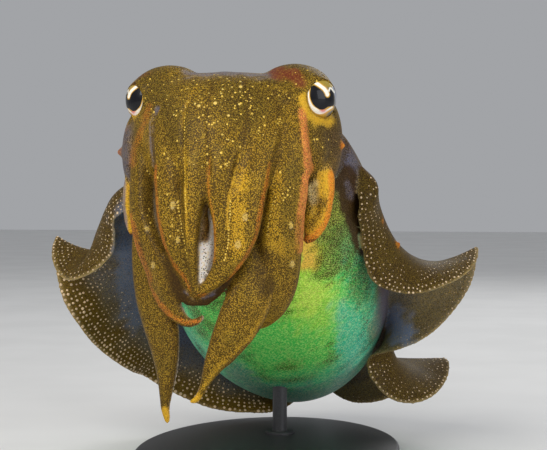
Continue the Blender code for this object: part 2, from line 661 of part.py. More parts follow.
def build():
    """Every sub-part, from the body out."""
    clear_scene()
    skin = make_material("skin", (0.30, 0.17, 0.05), 0.45)
    belly = make_material("belly", (0.12, 0.40, 0.10), 0.35)
    fin_skin = make_material("fin", (0.20, 0.13, 0.07), 0.45)
    pale = make_material("pale_flesh", (0.62, 0.56, 0.50), 0.4)
    eye = make_material("eye", (0.03, 0.03, 0.04), 0.08)
    stand = make_material("stand", (0.03, 0.03, 0.03), 0.5)

    mantle_body("mantle", finish=belly)

    head = head_body("head", finish=skin)
    brows = [ellipsoid("brow", HEAD_CENTRE + BROW_PLACE * np.array((side, 1.0, 1.0)), BROW_SIZE)
             for side in (-1.0, 1.0)]
    lids = [lid_ring("lid", side) for side in (-1.0, 1.0)]
    combine(head, brows + lids, "UNION")
    combine(head, [mantle_body("clear", GAP)] + [eye_body("socket", side, GAP) for side in (-1.0, 1.0)],
            "DIFFERENCE")
    eye_body("eye_left", 1.0, finish=eye)
    eye_body("eye_right", -1.0, finish=eye)

    done = []
    for name, spec in ARMS.items():
        half = GAP / 2 / centre_line(spec)[2]
        spans = {"base": (0.0, spec["split"] - half), "tip": (spec["split"] + half, 1.0)}
        cups = sucker_places(name, spec)
        for part, (start, end) in spans.items():
            length = arm_length(name + "_" + part, spec, start, end, finish=skin)
            add_suckers(length, spec, cups, start, end)
            cutters = [arm_length("clear", ARMS[other], 0.0, 1.0, GAP) for other in done]
            if part == "base":
                cutters.append(head_body("clear", GAP))
            combine(length, cutters, "DIFFERENCE")
        done.append(name)

    for name, spec in TENTACLES.items():
        club = arm_length(name, spec, 0.0, 1.0, finish=pale)
        add_suckers(club, spec, sucker_places(name, spec), 0.0, 1.0)
        cutters = [arm_length("clear", ARMS[other], 0.0, 1.0, GAP) for other in ARMS]
        cutters += [arm_length("clear", TENTACLES[other], 0.0, 1.0, GAP) for other in TENTACLES if other < name]
        cutters.append(head_body("clear", GAP))
        combine(club, cutters, "DIFFERENCE")

    mouth = mouth_body("buccal_membrane", pale)
    cutters = [arm_length("clear", spec, 0.0, 1.0, GAP) for spec in ARMS.values()]
    cutters += [arm_length("clear", spec, 0.0, 1.0, GAP) for spec in TENTACLES.values()]
    combine(mouth, cutters + [head_body("clear", GAP)], "DIFFERENCE")

    funnel = funnel_body("funnel", pale)
    combine(funnel, [head_body("clear", GAP), mantle_body("clear", GAP)], "DIFFERENCE")

    for name, spec in FLAPS.items():
        flap = ellipsoid(name, HEAD_CENTRE + np.array(spec["centre"]) * MM, np.array(spec["size"]) * MM, skin,
                         turn=spec["turn"])
        cutters = [arm_length("clear", other, 0.0, 1.0, GAP) for other in ARMS.values()]
        combine(flap, cutters + [head_body("clear", GAP), mantle_body("clear", GAP)], "DIFFERENCE")

    for side_name, side in (("left", 1.0), ("right", -1.0)):
        stations = np.array(FINS[side_name])
        stations[:, :2] *= MM
        for part, (start, end) in FIN_SPANS.items():
            fin = fin_length("fin_%s_%s" % (side_name, part), side, stations, start + GAP / 2, end - GAP / 2, fin_skin)
            combine(fin, [mantle_body("clear", GAP)], "DIFFERENCE")

    half_width = BASE_WIDTH / 2
    turned_plate("stand_base", (half_width - BASE_EDGE, half_width, half_width, half_width - BASE_EDGE),
                 (0.0, BASE_EDGE, BASE_THICKNESS - BASE_EDGE, BASE_THICKNESS), (0.0, BASE_MIDDLE_Y),
                 (BASE_LENGTH - BASE_WIDTH) / 2, stand)
    rod = turned_plate("stand_rod", (ROD_RADIUS, ROD_RADIUS), (BASE_THICKNESS + GAP, 60.0 * MM), (0.0, ROD_Y),
                       0.0, stand, sides=20)
    combine(rod, [mantle_body("clear", GAP)], "DIFFERENCE")

    for thing in bpy.data.objects:
        thing.data.shade_smooth()
        thing.data.set_sharp_from_angle(angle=math.radians(50.0))


build()
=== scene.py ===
"""A common cuttlefish as a life-size display model: one skin over all its flesh, eyes, suckers,
fin spots and a plain stand, on a pale floor in soft light.

Units are metres, +Z is up, the animal faces -Y and its left side is at +X. Lengths written in
millimetres are turned into metres by MM. The masks named below are values at the skin's points,
worked out from where each point lies on the body part that it belongs to.
"""
import math
import random

import bmesh
import bpy
import numpy as np
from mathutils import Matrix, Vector
from mathutils.kdtree import KDTree


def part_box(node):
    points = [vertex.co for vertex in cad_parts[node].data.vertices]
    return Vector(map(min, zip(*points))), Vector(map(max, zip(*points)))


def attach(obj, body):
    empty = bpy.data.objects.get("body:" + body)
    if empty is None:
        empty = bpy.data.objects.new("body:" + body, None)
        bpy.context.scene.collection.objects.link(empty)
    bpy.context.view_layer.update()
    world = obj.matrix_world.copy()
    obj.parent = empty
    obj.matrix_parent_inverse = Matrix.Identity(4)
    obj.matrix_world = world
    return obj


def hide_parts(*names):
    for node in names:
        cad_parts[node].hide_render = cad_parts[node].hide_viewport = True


bl_info = {
    "name": "Cuttlefish display model",
    "version": (1, 0, 0),
    "blender": (4, 5, 0),
    "location": "View3D > Sidebar > Cuttlefish",
    "description": "Builds the skin, eyes, suckers, fin spots and stand of a cuttlefish model",
    "category": "Object",
}

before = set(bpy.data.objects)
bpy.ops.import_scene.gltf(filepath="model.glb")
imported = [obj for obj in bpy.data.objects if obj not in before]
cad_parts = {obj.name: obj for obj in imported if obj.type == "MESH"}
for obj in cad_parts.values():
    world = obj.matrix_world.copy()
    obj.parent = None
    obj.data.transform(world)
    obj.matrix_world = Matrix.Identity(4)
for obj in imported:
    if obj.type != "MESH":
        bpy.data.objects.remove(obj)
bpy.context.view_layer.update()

MM = 0.001
HEAD_CENTRE = np.array((0.0, -80.0, 139.0)) * MM
COLLAR_BEHIND = 45.0 * MM
COLLAR_BELOW = 17.0 * MM
BODY_PITCH = math.radians(40.0)
TAILWARD = np.array((0.0, math.cos(BODY_PITCH), -math.sin(BODY_PITCH)))
DORSAL = np.array((0.0, math.sin(BODY_PITCH), math.cos(BODY_PITCH)))
SIDEWAYS = np.array((1.0, 0.0, 0.0))
COLLAR = HEAD_CENTRE + np.array((0.0, COLLAR_BEHIND, -COLLAR_BELOW))

# Mantle: distance behind the collar, half width, height above and below its widest line.
MANTLE_LENGTH = 165.0 * MM
MANTLE_STATIONS = np.array((
    (0, 36.5, 20, 29), (12, 40, 22.5, 32), (40, 43.5, 24.5, 36), (75, 45.5, 25, 37.5),
    (105, 43, 23, 34.5), (130, 34.5, 18.5, 26.5), (150, 21.5, 12, 16), (161, 10, 6, 8))) * MM
COLLAR_LOBE = 8.0 * MM

# Head: distance behind its centre, half width, top and bottom above its centre.
HEAD_STATIONS = np.array((
    (-12, 28, 5, -17), (-7, 32.5, 7.6, -23), (2, 34.5, 8.4, -27), (14, 34.5, 8.2, -31),
    (28, 33.5, 6.4, -36), (48, 33.5, 3, -40), (64, 33.5, 0, -42))) * MM
HEAD_SQUARENESS = 2.4
RIBBON_SQUARENESS = 2.4
HEAD_LEAN = 0.3
CROWN_TILT = math.radians(30.0)
CROWN_MIDDLE = HEAD_CENTRE + np.array((-1.5, -9.5, -8.0)) * MM
CROWN_OUT = np.array((0.0, -math.cos(CROWN_TILT), -math.sin(CROWN_TILT)))
BROW_PLACE = np.array((21.7, 2.0, 2.5)) * MM
BROW_SIZE = np.array((13.3, 12.8, 9.8)) * MM
CHEEK_PLACE = {1.0: np.array((31.2, 5.0, -14.0)) * MM, -1.0: np.array((-32.7, 5.0, -18.0)) * MM}
CHEEK_SIZE = np.array((6.6, 10.0, 15.5)) * MM
JOWL_PLACE = np.array((27.2, -3.0, -16.2)) * MM
JOWL_SIZE = np.array((7.3, 9.0, 10.4)) * MM

# Forehead, from which the arms rise: height, half width, and how far forward it reaches.
HOOD_STATIONS = np.array((
    (9.7, 4, 3), (9.3, 10, -2.5), (8.5, 16, -8), (7, 22.5, -13.3),
    (4.2, 27.2, -18.3), (0, 29.3, -22), (-5, 29.8, -25), (-10, 29.6, -27.6),
    (-16, 29, -29.3), (-23, 27, -29.9), (-30, 22, -29), (-36, 15, -26.5))) * MM
HOOD_MIDDLE = np.array((-2.5, 2.0)) * MM

# Eyes.
EYE_CENTRE = np.array((27.9, -1.6, 0.2)) * MM
EYE_RADIUS = 8.5 * MM
EYE_AZIMUTH = math.radians(48.0)
LID_THICKNESS = 0.75 * MM
ARM_SQUARENESS = 3.0
ARM_GOLD = {"arm_1_right": 0.20, "arm_1_left": 0.24, "arm_2_right": 0.24, "arm_2_left": 0.36,
            "arm_3_right": 0.16, "arm_3_left": 0.32, "arm_4_right": 0.08, "arm_4_left": 0.26}

# Arms: where each centre line runs in the photograph's view, in pixels, how far that is from the
# head's centre in depth, half width and half depth there, and the way that the outer face looks.
ARMS = {
    "arm_1_right": dict(
        outward=(-0.1, -1.0, 0.0), keel=0.5, places=(
        (197, 96, -10.5, 4.9, 4.4), (196.5, 122, -19.5, 4.5, 4.6), (196.3, 152, -25, 4.1, 4.3),
        (195.2, 190, -28.3, 3.8, 3.6), (193, 216, -29.3, 2.8, 3), (192.3, 240, -29, 2.1, 2.4),
        (193.4, 264, -27.5, 1.5, 1.9), (194.8, 282, -26, 1, 1.4), (195.3, 295.5, -25.2, 0.8, 0.9))),
    "arm_1_left": dict(
        outward=(0.1, -1.0, 0.0), keel=0.5, places=(
        (226, 96, -10.5, 5, 4.4), (226.5, 122, -19.5, 5.1, 4.6), (225.5, 148, -24.6, 4.9, 4.4),
        (220.8, 174, -27.6, 4.3, 3.9), (218.3, 200, -29, 3.5, 3.3), (221, 222, -29.2, 2.7, 2.8),
        (220, 246, -28.6, 2, 2.3), (217.3, 262, -27.8, 1.5, 1.9), (208, 281, -26.4, 1.1, 1.4),
        (196.5, 295.5, -25.2, 0.8, 0.9))),
    "arm_2_right": dict(
        outward=(-0.35, -0.93, 0.0), keel=1.4, places=(
        (168.5, 100, -8.5, 4.9, 4.6), (168.5, 125, -16.5, 5, 4.9), (169, 150, -20.5, 5, 4.6),
        (170.5, 190, -24.5, 4.8, 4), (172.8, 216, -25.6, 4.9, 3.6), (177.2, 244, -25.6, 4.1, 3.1),
        (183, 264, -25, 2.7, 2.3), (188.6, 279, -24.4, 1.6, 1.6), (194, 296, -23.8, 0.8, 0.9))),
    "arm_2_left": dict(
        outward=(0.35, -0.93, 0.0), keel=1.4, places=(
        (259, 98, -8.5, 6.2, 4.8), (261, 122, -15.5, 6.4, 5.1), (261.5, 144, -19.5, 6.2, 4.9),
        (253, 170, -23.3, 5.5, 4.5), (245.2, 200, -26, 5.5, 4.1), (242.3, 228, -27, 4.7, 3.7),
        (236, 250, -27.2, 3.8, 3.2), (225.5, 268, -26.9, 2.9, 2.7), (212.5, 283, -26, 2, 2),
        (193.5, 296.5, -24.6, 0.8, 0.9))),
    "arm_3_right": dict(
        outward=(-0.75, -0.66, 0.0), keel=1.6, places=(
        (151, 115, -3, 4.1, 4.6), (148.5, 140, -7.5, 4.4, 5), (146.5, 165, -10.5, 4.6, 5),
        (145, 190, -12.5, 4.7, 4.8), (145, 216, -14.8, 4.9, 4.5), (150.5, 242, -16.8, 5.9, 4.2),
        (159.5, 265, -18, 6.4, 3.9), (165, 287, -18.8, 5.7, 3.6), (171.5, 304, -19.6, 4.1, 3),
        (180.5, 316.5, -20.6, 2.5, 2.2), (190.5, 322.5, -21.8, 1.4, 1.5),
        (199.5, 320, -22.6, 1, 1.1), (203.5, 315.5, -22.8, 0.8, 0.9))),
    "arm_3_left": dict(
        outward=(0.6, -0.8, 0.0), keel=1.6, places=(
        (290, 104, -6, 4.7, 4.8), (291, 130, -11.5, 5.3, 5.2), (288.5, 166, -14.5, 6.5, 5.2),
        (283, 200, -15, 7.1, 5.2), (278.5, 236, -13.5, 7.4, 4.9), (277.3, 265, -11, 7.6, 4.6),
        (274.2, 290, -7.5, 7.2, 4.2), (267.5, 309, -3, 6, 3.8), (256.5, 320, 2.5, 3.4, 3),
        (244, 322, 7, 0.9, 0.9))),
    "arm_4_right": dict(
        outward=(-0.5, -0.87, 0.0), keel=2.0, places=(
        (195, 155, 0, 6.2, 5), (170, 185, -0.5, 6.2, 4.6), (150, 225, -4.5, 5.4, 4.2),
        (148.3, 262, -7.5, 5.7, 4), (154.5, 296, -10.4, 6.9, 3.9), (162.3, 326, -12.4, 6.8, 3.6),
        (166.6, 351, -13.4, 5.5, 3.2), (167.7, 373, -13.6, 3.8, 2.8), (166.5, 394, -13.4, 2.2, 2.2),
        (165.8, 408, -13.2, 1.5, 1.6), (168, 423, -13, 0.8, 0.9))),
    "arm_4_left": dict(
        outward=(0.5, -0.87, 0.0), keel=2.0, places=(
        (258, 155, 0, 6.2, 5), (262, 190, -5, 5.8, 4.6), (260, 225, -10.5, 5.2, 4.2),
        (256.5, 255, -14.4, 5.4, 3.9), (252.3, 278, -17.4, 6.3, 3.7), (247, 298, -19.4, 7.1, 3.6),
        (236.3, 323, -20.6, 6.8, 3.4), (223, 347, -21, 5.1, 3), (212, 366, -20.8, 3.1, 2.5),
        (204, 384, -20.4, 1.7, 1.8), (198.8, 395.5, -20.2, 1.3, 1.4), (193.5, 401.3, -20, 1, 1.1),
        (189, 400, -20, 0.8, 0.9))),
}
TENTACLES = {
    "tentacle_right": dict(
        outward=(0.0, -1.0, 0.0), keel=0.0, stations=(
        (-8.5, -12.5, -12, 2, 2), (-6.6, -19, -26, 2, 2), (-4.9, -23.6, -40, 3.2, 2),
        (-4.9, -24.6, -51, 3.5, 2.2), (-6.4, -24.2, -60, 2, 1.4), (-7.4, -24, -63, 0.6, 0.6))),
    "tentacle_left": dict(
        outward=(0.0, 1.0, 0.0), keel=0.0, stations=(
        (7, -11.5, -12, 2, 2), (5.5, -14, -24, 2, 2), (3, -16, -36, 2.8, 2.2),
        (1.8, -17, -47, 3, 2.2), (1.2, -17.5, -56, 0.8, 0.8))),
}
LIMBS = {**ARMS, **TENTACLES}
ORAL_FLATNESS = 0.7

# Fins: distance behind the collar, width, and angle above the level in degrees.
FINS = {
    "left": (
        (8, 3, -100, -60), (10, 10.5, -96, -120), (12.5, 18.5, -94, -150), (16, 20.5, -98, -135),
        (25, 19.5, -101, -115), (37, 23.5, -103, -135), (48, 32, -91, -135), (56, 32, -67, -125),
        (64, 31, -27, -75), (71, 37, 8, 2), (77, 40, 23, 33), (83, 35, 6, 8), (90, 27.5, -24, -18),
        (98, 23.5, -77, -60), (106, 24, -106, -84), (115, 33, -88, -70), (124, 37, -61, -48),
        (132, 38, -27, -22), (140, 38, 3, 5), (146, 31, -6, 0), (152, 22, -40, -35),
        (156, 13, -58, -45), (158, 6, -66, -50)),
    "right": (
        (8, 6, -85, -80), (12, 15, -72, -100), (18, 28.5, -54, -150), (24, 37, -58, -180),
        (30, 43, -60, -190), (38, 46.5, -53, -185), (46, 45.5, -42, -125), (52, 44, -27, -25),
        (57.5, 49, 6, 62), (64, 46.5, -11, 34), (75, 45, -28, -22), (98, 41.5, -33, -26),
        (120, 37, -33, -26), (136, 34, -29, -22), (146, 27, -54, -40), (152, 22, -90, -60),
        (156, 20, -122, -60), (158, 17, -140, -50)),
}
FIN_START = 8.0 * MM
FIN_END = 158.0 * MM
FIN_ROOT_THICKNESS = 3.2 * MM
FIN_EDGE_THICKNESS = 1.1 * MM
FIN_ROOT_INSIDE = 3.0 * MM

# Loose folds: centre points about the head's centre with half width and half depth.
FLAP_LEFT = (
    (33.4, -2.5, -22, 1, 1.4), (33, -3.8, -24.6, 3.1, 2), (31.3, -4.8, -30.8, 5.1, 2.2),
    (30.9, -5.2, -35.6, 4.8, 2.2), (30.2, -5.6, -39.4, 4.8, 2), (29.2, -5.8, -43.8, 3.7, 1.8),
    (28, -5.8, -46.6, 2.4, 1.4), (26.2, -5.6, -48.5, 0.9, 0.9))
FLAP_RIGHT = (
    (-36.4, 1, -25.5, 1.2, 1), (-36.6, 0.4, -30, 2.8, 1.4), (-36.4, 0, -37, 3.2, 1.6),
    (-35.8, 0, -43, 2.2, 1.3), (-34.8, 0, -46.5, 0.9, 0.9))
WEB = (
    (-4.6, -26, -22, 3, 1.4), (-4.8, -26.8, -30, 2.6, 1.4), (-5, -27, -38, 2.6, 1.2),
    (-5.2, -26.8, -44.5, 2.9, 1), (-5.2, -26.6, -47.8, 2.7, 0.7))
# The sheet behind the arms' tips is coloured dark brown as painted shade: it fills the hollow there with the
# colour of its shadow.
SHADE_WEB = (
    (-5.5, -19, -22, 12, 2), (-5.5, -21.5, -32, 12, 1.6), (-5.4, -22.4, -42, 11.5, 1.4),
    (-5.6, -22.8, -50, 11.8, 1.3), (-6.4, -22.8, -57, 11.4, 1.2), (-7, -22.8, -62, 10, 1.1),
    (-7.2, -22.6, -66, 7.5, 1), (-7.2, -22.4, -69, 3.5, 0.9))
WARTS = (
    ((-39.6, 3, -17.6), 1.5), ((38, 3, -15.6), 1.2), ((-36, 0, -10), 0.9),
    ((34.6, -4, -24), 0.8), ((46.2, 63.6, -42.6), 1.2), ((51.8, 74, -52), 1.2))
MOUTH_RADIUS = 6.5 * MM
MOUTH_LENGTH = 9.0 * MM
FUNNEL_POINTS = ((0, 30, -41, 11, 7.5), (0, 18, -44, 10, 7), (0, 5, -50, 6.5, 5.5))
FUNNEL_WALL = 1.3 * MM
FUNNEL_DEPTH = 9.0 * MM

# Camera: where the head's centre lies in the frame, and how far the lens is from it.
FRAME_WIDTH = 547
FRAME_HEIGHT = 450
FOCAL_PIXELS = 1460.0
SENSOR_WIDTH = 36.0
HEAD_DISTANCE = 0.500
HEAD_PIXEL = (231.0, 100.0)
VIEW_AZIMUTH = math.radians(9.0)
VIEW_ELEVATION = math.radians(1.5)
LENS_ASIDE = (HEAD_PIXEL[0] - FRAME_WIDTH / 2) * HEAD_DISTANCE / FOCAL_PIXELS
LENS_ABOVE = (FRAME_HEIGHT / 2 - HEAD_PIXEL[1]) * HEAD_DISTANCE / FOCAL_PIXELS

FLESH_NODES = [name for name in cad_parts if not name.startswith(("eye_", "stand_"))]

# Skin: rounds that even out the whole masks and the arms' roots, how far behind the head's centre
# the painted lines and the beads end, and the mask rows, a colour and then these amounts.
MASK_ROUNDS = 6
ROOT_ROUNDS = 40
LINES_END = 13 * MM
BEADS_END = 15 * MM
DARK, PALE, SHINE, CALM = 3, 4, 5, 6
MASKS = 7

OLIVE = np.array((0.165, 0.105, 0.008))
GOLD = np.array((0.56, 0.31, 0.012))
BROWN = np.array((0.075, 0.032, 0.004))
ORANGE = np.array((0.48, 0.125, 0.01))
SALMON = np.array((0.62, 0.18, 0.05))
SLATE = np.array((0.12, 0.125, 0.19))
MAROON = np.array((0.12, 0.018, 0.01))
FLANK = np.array((0.055, 0.022, 0.012))
BELLY_GREEN = np.array((0.06, 0.76, 0.09))
BELLY_LIME = np.array((0.42, 0.90, 0.03))
BELLY_TEAL = np.array((0.03, 0.56, 0.42))
BELLY_BLUE = np.array((0.11, 0.25, 0.33))
CREAM = np.array((0.72, 0.60, 0.34))
FLESH = np.array((0.62, 0.56, 0.50))
EYE_RIM = np.array((0.15, 0.14, 0.12))
EYE_LID = np.array((0.33, 0.23, 0.03))
EYE_BLUE = np.array((0.33, 0.36, 0.44))
EYE_GOLD = np.array((0.62, 0.34, 0.04))
EYE_PINK = np.array((0.75, 0.18, 0.22))
EYE_OPENING = np.array((4.93, 5.98)) * MM
EYE_SHIFT = np.array((3.7, -0.4)) * MM
EYE_NARROW = {1.0: 1.0, -1.0: 0.86}
EYE_COVER = np.array((-1.0, 0.4, 0.2, 9.5)) * MM
# Brown of the fins: their own colour, kept darker as painted shade for the dimmer light on the fins.
FIN_BROWN_AND_SHADE = np.array((0.095, 0.058, 0.006))
FIN_GREY = np.array((0.125, 0.118, 0.10))
FIN_BLUE = np.array((0.075, 0.11, 0.185))
KHAKI = np.array((0.20, 0.165, 0.095))
UNDER_FIN = {-1.0: (FIN_BLUE, FIN_GREY, FIN_BROWN_AND_SHADE), 1.0: (FIN_GREY, KHAKI, KHAKI * 0.8)}

# Labels of the sources that make up the head.
HEAD_PARTS = ("head", "hood", "body")

# Star-shaped marks: place in the view.
STARS = ((172.7, 205), (147, 228.6), (153, 264.5), (177.8, 239.6), (245.3, 217), (238, 244),
         (292.6, 264), (291, 225))

# Colour strokes: parts, colour, strength, half width, softness, dark dots or None, and the line
# through places in the photograph's view.
STROKES = (
    ("arm_2_right", ORANGE, 0.85, 0.8, 1.6, 0.55,
     ((155, 166), (156, 190), (158, 216), (164.5, 245), (174, 264), (184, 277), (190, 289), (193.5, 294))),
    ("arm_2_left", ORANGE, 0.85, 1, 1.8, 0.55,
     ((270, 163), (266, 185), (262, 200), (254.5, 239), (243.5, 260), (232.3, 277.6), (222, 288.8),
      (209, 295.5), (196, 295))),
    ("arm_3_right", ORANGE * 0.8, 0.85, 4, 2.4, 0.7, ((132, 226), (135, 244), (142, 266), (148, 280))),
    ("arm_3_right", ORANGE * 0.8, 0.6, 0.6, 1.5, 0.3, ((176, 262), (181, 290), (183, 303), (192, 313))),
    ("arm_3_right", ORANGE * 0.95, 0.85, 1.6, 2, 0.5,
     ((129.5, 215), (131.5, 236), (136.6, 250), (146, 282), (159, 303), (172.6, 317), (186.8, 323.4),
      (199.6, 321))),
    (HEAD_PARTS + ("arm_3_left",), SALMON, 0.9, 2.8, 3.2, 0.45,
     ((303, 112), (304, 137), (307.5, 156), (309, 170), (305, 178))),
    ("arm_3_left", SALMON, 0.9, 3, 2, 0.4,
     ((305, 181), (303.5, 196), (300.5, 213), (299, 236), (298.5, 250))),
    ("arm", GOLD * 1.1, 0.7, 0.7, 1.3, 0.1, ((243, 146), (236, 170), (229, 196), (227.5, 212), (228, 228))),
    ("arm", GOLD, 0.6, 0.6, 1.2, 0.2, ((182, 105), (184, 150), (185, 190), (186, 216), (187, 240))),
    ("arm", ORANGE, 0.6, 0.6, 1.2, 0.2,
     ((209, 154), (208, 172), (209, 196), (214, 220), (215, 240), (214, 262))),
    ("arm_2_left", GOLD * 1.05, 0.7, 3.5, 8, 0.5, ((241, 172), (236, 200), (238, 225), (236, 250))),
    ("arm_1_right", GOLD, 0.3, 2.5, 4, 0.5, ((187, 160), (189, 200), (190, 240))),
    ("tentacle", np.array((0.80, 0.78, 0.76)), 0.9, 8, 2, 0, ((206, 243), (206, 262), (203, 280))),
    (HEAD_PARTS, GOLD, 0.35, 0.6, 1.6, 0.3, ((196, 88), (189, 98), (183, 112), (182, 130))),
    (HEAD_PARTS, BROWN, 0.35, 0.6, 2, 0.8, ((213, 82), (208, 100), (207, 125), (208, 152))),
    (HEAD_PARTS, BROWN, 0.35, 0.6, 2, 0.8, ((243, 80), (248, 100), (246, 125), (243, 146))),
    (HEAD_PARTS, ORANGE * 0.8, 0.35, 0.6, 2, 0.5, ((280, 128), (276, 145), (270, 163))),
    (HEAD_PARTS, BROWN, 0.3, 1, 3, 0.8, ((268, 84), (276, 100), (282, 120), (281, 140))),
    (HEAD_PARTS, SLATE, 0.7, 0.4, 5.5, 0.3, ((186, 73), (203, 75), (228, 72), (260, 75), (275, 73))),
    ("web", SLATE, 0.6, 0.5, 1.2, 0, ((184, 291), (192, 297), (205, 297.5), (214, 294))),
    ("arm_3_left", GOLD, 0.6, 5, 10, 0.5, ((274, 180), (268, 205), (272, 240), (288, 250))),
    ("arm_3_left", OLIVE, 0.6, 4, 7, 0.6, ((292, 170), (290, 220), (292, 270))),
    (HEAD_PARTS, MAROON, 0.6, 1.5, 6, 0.5, ((131, 84), (137, 77), (146, 71))),
    (HEAD_PARTS, MAROON, 0.95, 4, 6, 0.2, ((276, 72), (284, 74), (293, 74), (300, 80))),
    (HEAD_PARTS, GOLD * 1.1, 0.8, 2, 6, 0.1, ((303, 100), (308, 114), (318, 121), (329, 121))),
    (HEAD_PARTS + ("arm_3_right",), SLATE * 0.7, 0.8, 1.2, 2, 0.1,
     ((157, 108), (152, 122), (151.5, 140), (153, 155), (154.5, 166))),
    (HEAD_PARTS + ("arm_3_right",), ORANGE * 0.8, 0.65, 1.4, 3.5, 0.55,
     ((149, 106), (144, 122), (139, 135), (134, 150), (132, 165))),
    (HEAD_PARTS, SLATE * 0.6, 0.6, 3, 6, 0.3, ((127, 130), (123, 150), (124, 178))),
    ("arm_4_left", BROWN, 0.5, 5, 8, 1, ((258, 254), (264, 270), (267, 288))),
    ("arm_3_left", BROWN, 0.4, 3, 6, 1, ((263, 252), (266, 270), (269, 288))),
    ("arm_4_left", GOLD, 0.45, 0.8, 3, 0.3,
     ((271, 297), (260, 322), (250, 337), (231, 355), (214, 372), (203, 388))),
    ("arm_4", GOLD * 1.1, 0.8, 3, 5, 0.2, ((167, 412), (169, 424))),
    ("arm_4", GOLD * 1.1, 0.8, 3, 5, 0.2, ((196, 397), (188, 400))),
    ("flap_left", GOLD * 1.2, 0.85, 7, 5, 0.35, ((326, 178), (324, 205), (314, 228))),
    ("flap_left", CREAM, 0.6, 2, 6, 0.4, ((313, 186), (315, 199))),
    ("flap_left", GOLD * 1.2, 0.7, 2.5, 4, 0.2, ((328, 172), (329, 186))),
    ("flap_left", ORANGE * 1.4, 0.8, 1.6, 3, 0.4,
     ((331, 172), (332.5, 190), (331, 206), (325, 226), (314, 236), (305, 240))),
    ("flap_left", BROWN, 0.5, 1.5, 6, 0.9, ((321, 200), (318, 214), (311, 226))),
    ("flap_right", GOLD * 1.2, 0.9, 3, 3, 0.4, ((128, 188), (130, 215), (131, 229))),
    ("flap_right", SLATE, 0.8, 0.6, 1.5, 0.2, ((124.5, 180), (124, 205), (127, 230))),
    ("mantle", BELLY_GREEN, 0.8, 14, 24, 0.15, ((272, 340), (300, 338), (335, 318), (330, 280))),
    ("mantle", BELLY_LIME, 0.9, 12, 30, 0.3, ((300, 270), (309, 290), (318, 306))),
    ("mantle", BELLY_LIME * np.array((1.7, 1.1, 2.0)), 0.9, 4, 20, 0.3,
     ((309, 266), (317, 288), (308, 302))),
    ("mantle", BELLY_LIME * np.array((0.75, 0.9, 1.0)), 0.6, 8, 14, 0.8, ((314, 258), (322, 270))),
    ("mantle", BELLY_TEAL * np.array((0.7, 1.1, 1.2)), 0.75, 3, 20, 0.3,
     ((346, 312), (350, 326), (350, 344))),
    ("mantle", BELLY_BLUE, 0.8, 3, 12, 0.3,
     ((236, 372), (262, 392), (292, 398), (325, 393), (352, 378))),
    ("mantle", np.array((1.00, 0.62, 0.09)), 0.95, 5, 10, 0.35, ((306, 243), (312, 252), (310, 262))),
    ("mantle", BELLY_LIME * np.array((0.9, 0.55, 1.0)), 0.75, 7, 18, 0.8,
     ((334, 212), (330, 240), (332, 262))),
    ("mantle", BELLY_GREEN * 0.5, 0.5, 5, 20, 0.8, ((347, 236), (352, 262), (360, 290))),
    (("mantle", "head"), FLANK, 0.97, 10, 5, 0.85, ((344, 176), (352, 202), (361, 228), (367, 244))),
    # Painted highlight: a small pale lilac glint on the collar's edge, laid in light slate.
    (("mantle", "head"), SLATE * 2, 0.35, 1, 5, 0.4, ((347, 184), (351, 197))),
    ("mantle", np.array((0.10, 0.10, 0.15)), 0.8, 3, 6, 0.3,
     ((381, 262), (385, 285), (382, 308), (374, 332))),
    ("fin_left", np.array((0.17, 0.25, 0.42)), 0.85, 5, 13, 0.1, ((396, 320), (402, 334))),
    ("fin_right", np.array((0.12, 0.18, 0.31)), 0.6, 2, 16, 0.2,
     ((126, 210), (124, 250), (128, 290), (136, 320))),
)
STROKES += tuple(("arm", CREAM, 0.55, 0.5, 2.0, 0.1, ((x, y - 1), (x, y + 2))) for x, y in STARS)

# Folds of the skin: parts, how far they are raised, half width, softness and line in the view. The
# pressed-in ones also get painted shade along them.
RELIEF = (
    (HEAD_PARTS + ("arm_1", "arm_2"), -0.55, 0.2, 2.2,
     ((189, 98), (183, 112), (182, 130), (183, 160), (184, 185))),
    (HEAD_PARTS + ("arm_2", "arm_3"), -0.6, 0.2, 2.4,
     ((158, 106), (153, 120), (151.5, 140), (153, 155), (155, 172))),
    (HEAD_PARTS + ("arm_1",), -0.5, 0.2, 2, ((208, 128), (208, 150), (209, 176))),
    (HEAD_PARTS + ("arm_1", "arm_2"), -0.5, 0.2, 2.2, ((247, 128), (244, 142), (238, 158), (234, 174))),
    (HEAD_PARTS + ("arm_2", "arm_3"), -0.45, 0.2, 2.4, ((285, 126), (279, 146), (270, 166))),
    (HEAD_PARTS, -0.3, 0.2, 2.6, ((213, 84), (208, 100), (207, 126))),
    (HEAD_PARTS, -0.3, 0.2, 2.6, ((244, 82), (249, 100), (247, 126))),
    (HEAD_PARTS, 0.35, 0.6, 2.4, ((198, 84), (192, 92), (186, 104))),
    (HEAD_PARTS + ("arm_3",), 0.6, 2, 1.4,
     ((303, 114), (304.5, 137), (307.5, 156), (308.5, 170), (305.5, 178))),
    ("arm_3_left", 0.6, 2.2, 1.4, ((304.5, 183), (303.5, 196), (301, 213), (299.5, 236), (299, 250))),
    ("flap_left", -0.9, 2.5, 3, ((313, 190), (315, 200), (317, 212))),
    (HEAD_PARTS, -0.4, 0.5, 2.5, ((288, 96), (284, 104), (279, 110))),
    ("arm_2_left", 0.35, 1, 1.5, ((264, 196), (259, 222), (250, 243), (238, 262))),
    ("arm_2_right", 0.3, 0.8, 1.4, ((160, 200), (163, 230), (170, 252), (180, 270))),
)

# Yellow specks scattered in the view: middle, half sizes, how many, and radius.
SPECK_FIELDS = (
    ((218, 100), (34, 26), 56, 0.34), ((165, 95), (24, 26), 26, 0.34), ((265, 105), (26, 30), 26, 0.34),
    ((300, 80), (20, 12), 8, 0.34), ((325, 145), (14, 14), 10, 0.34), ((205, 150), (44, 22), 26, 0.38),
    ((150, 190), (10, 40), 12, 0.34), ((285, 190), (12, 34), 12, 0.34), ((172, 215), (8, 34), 10, 0.34))

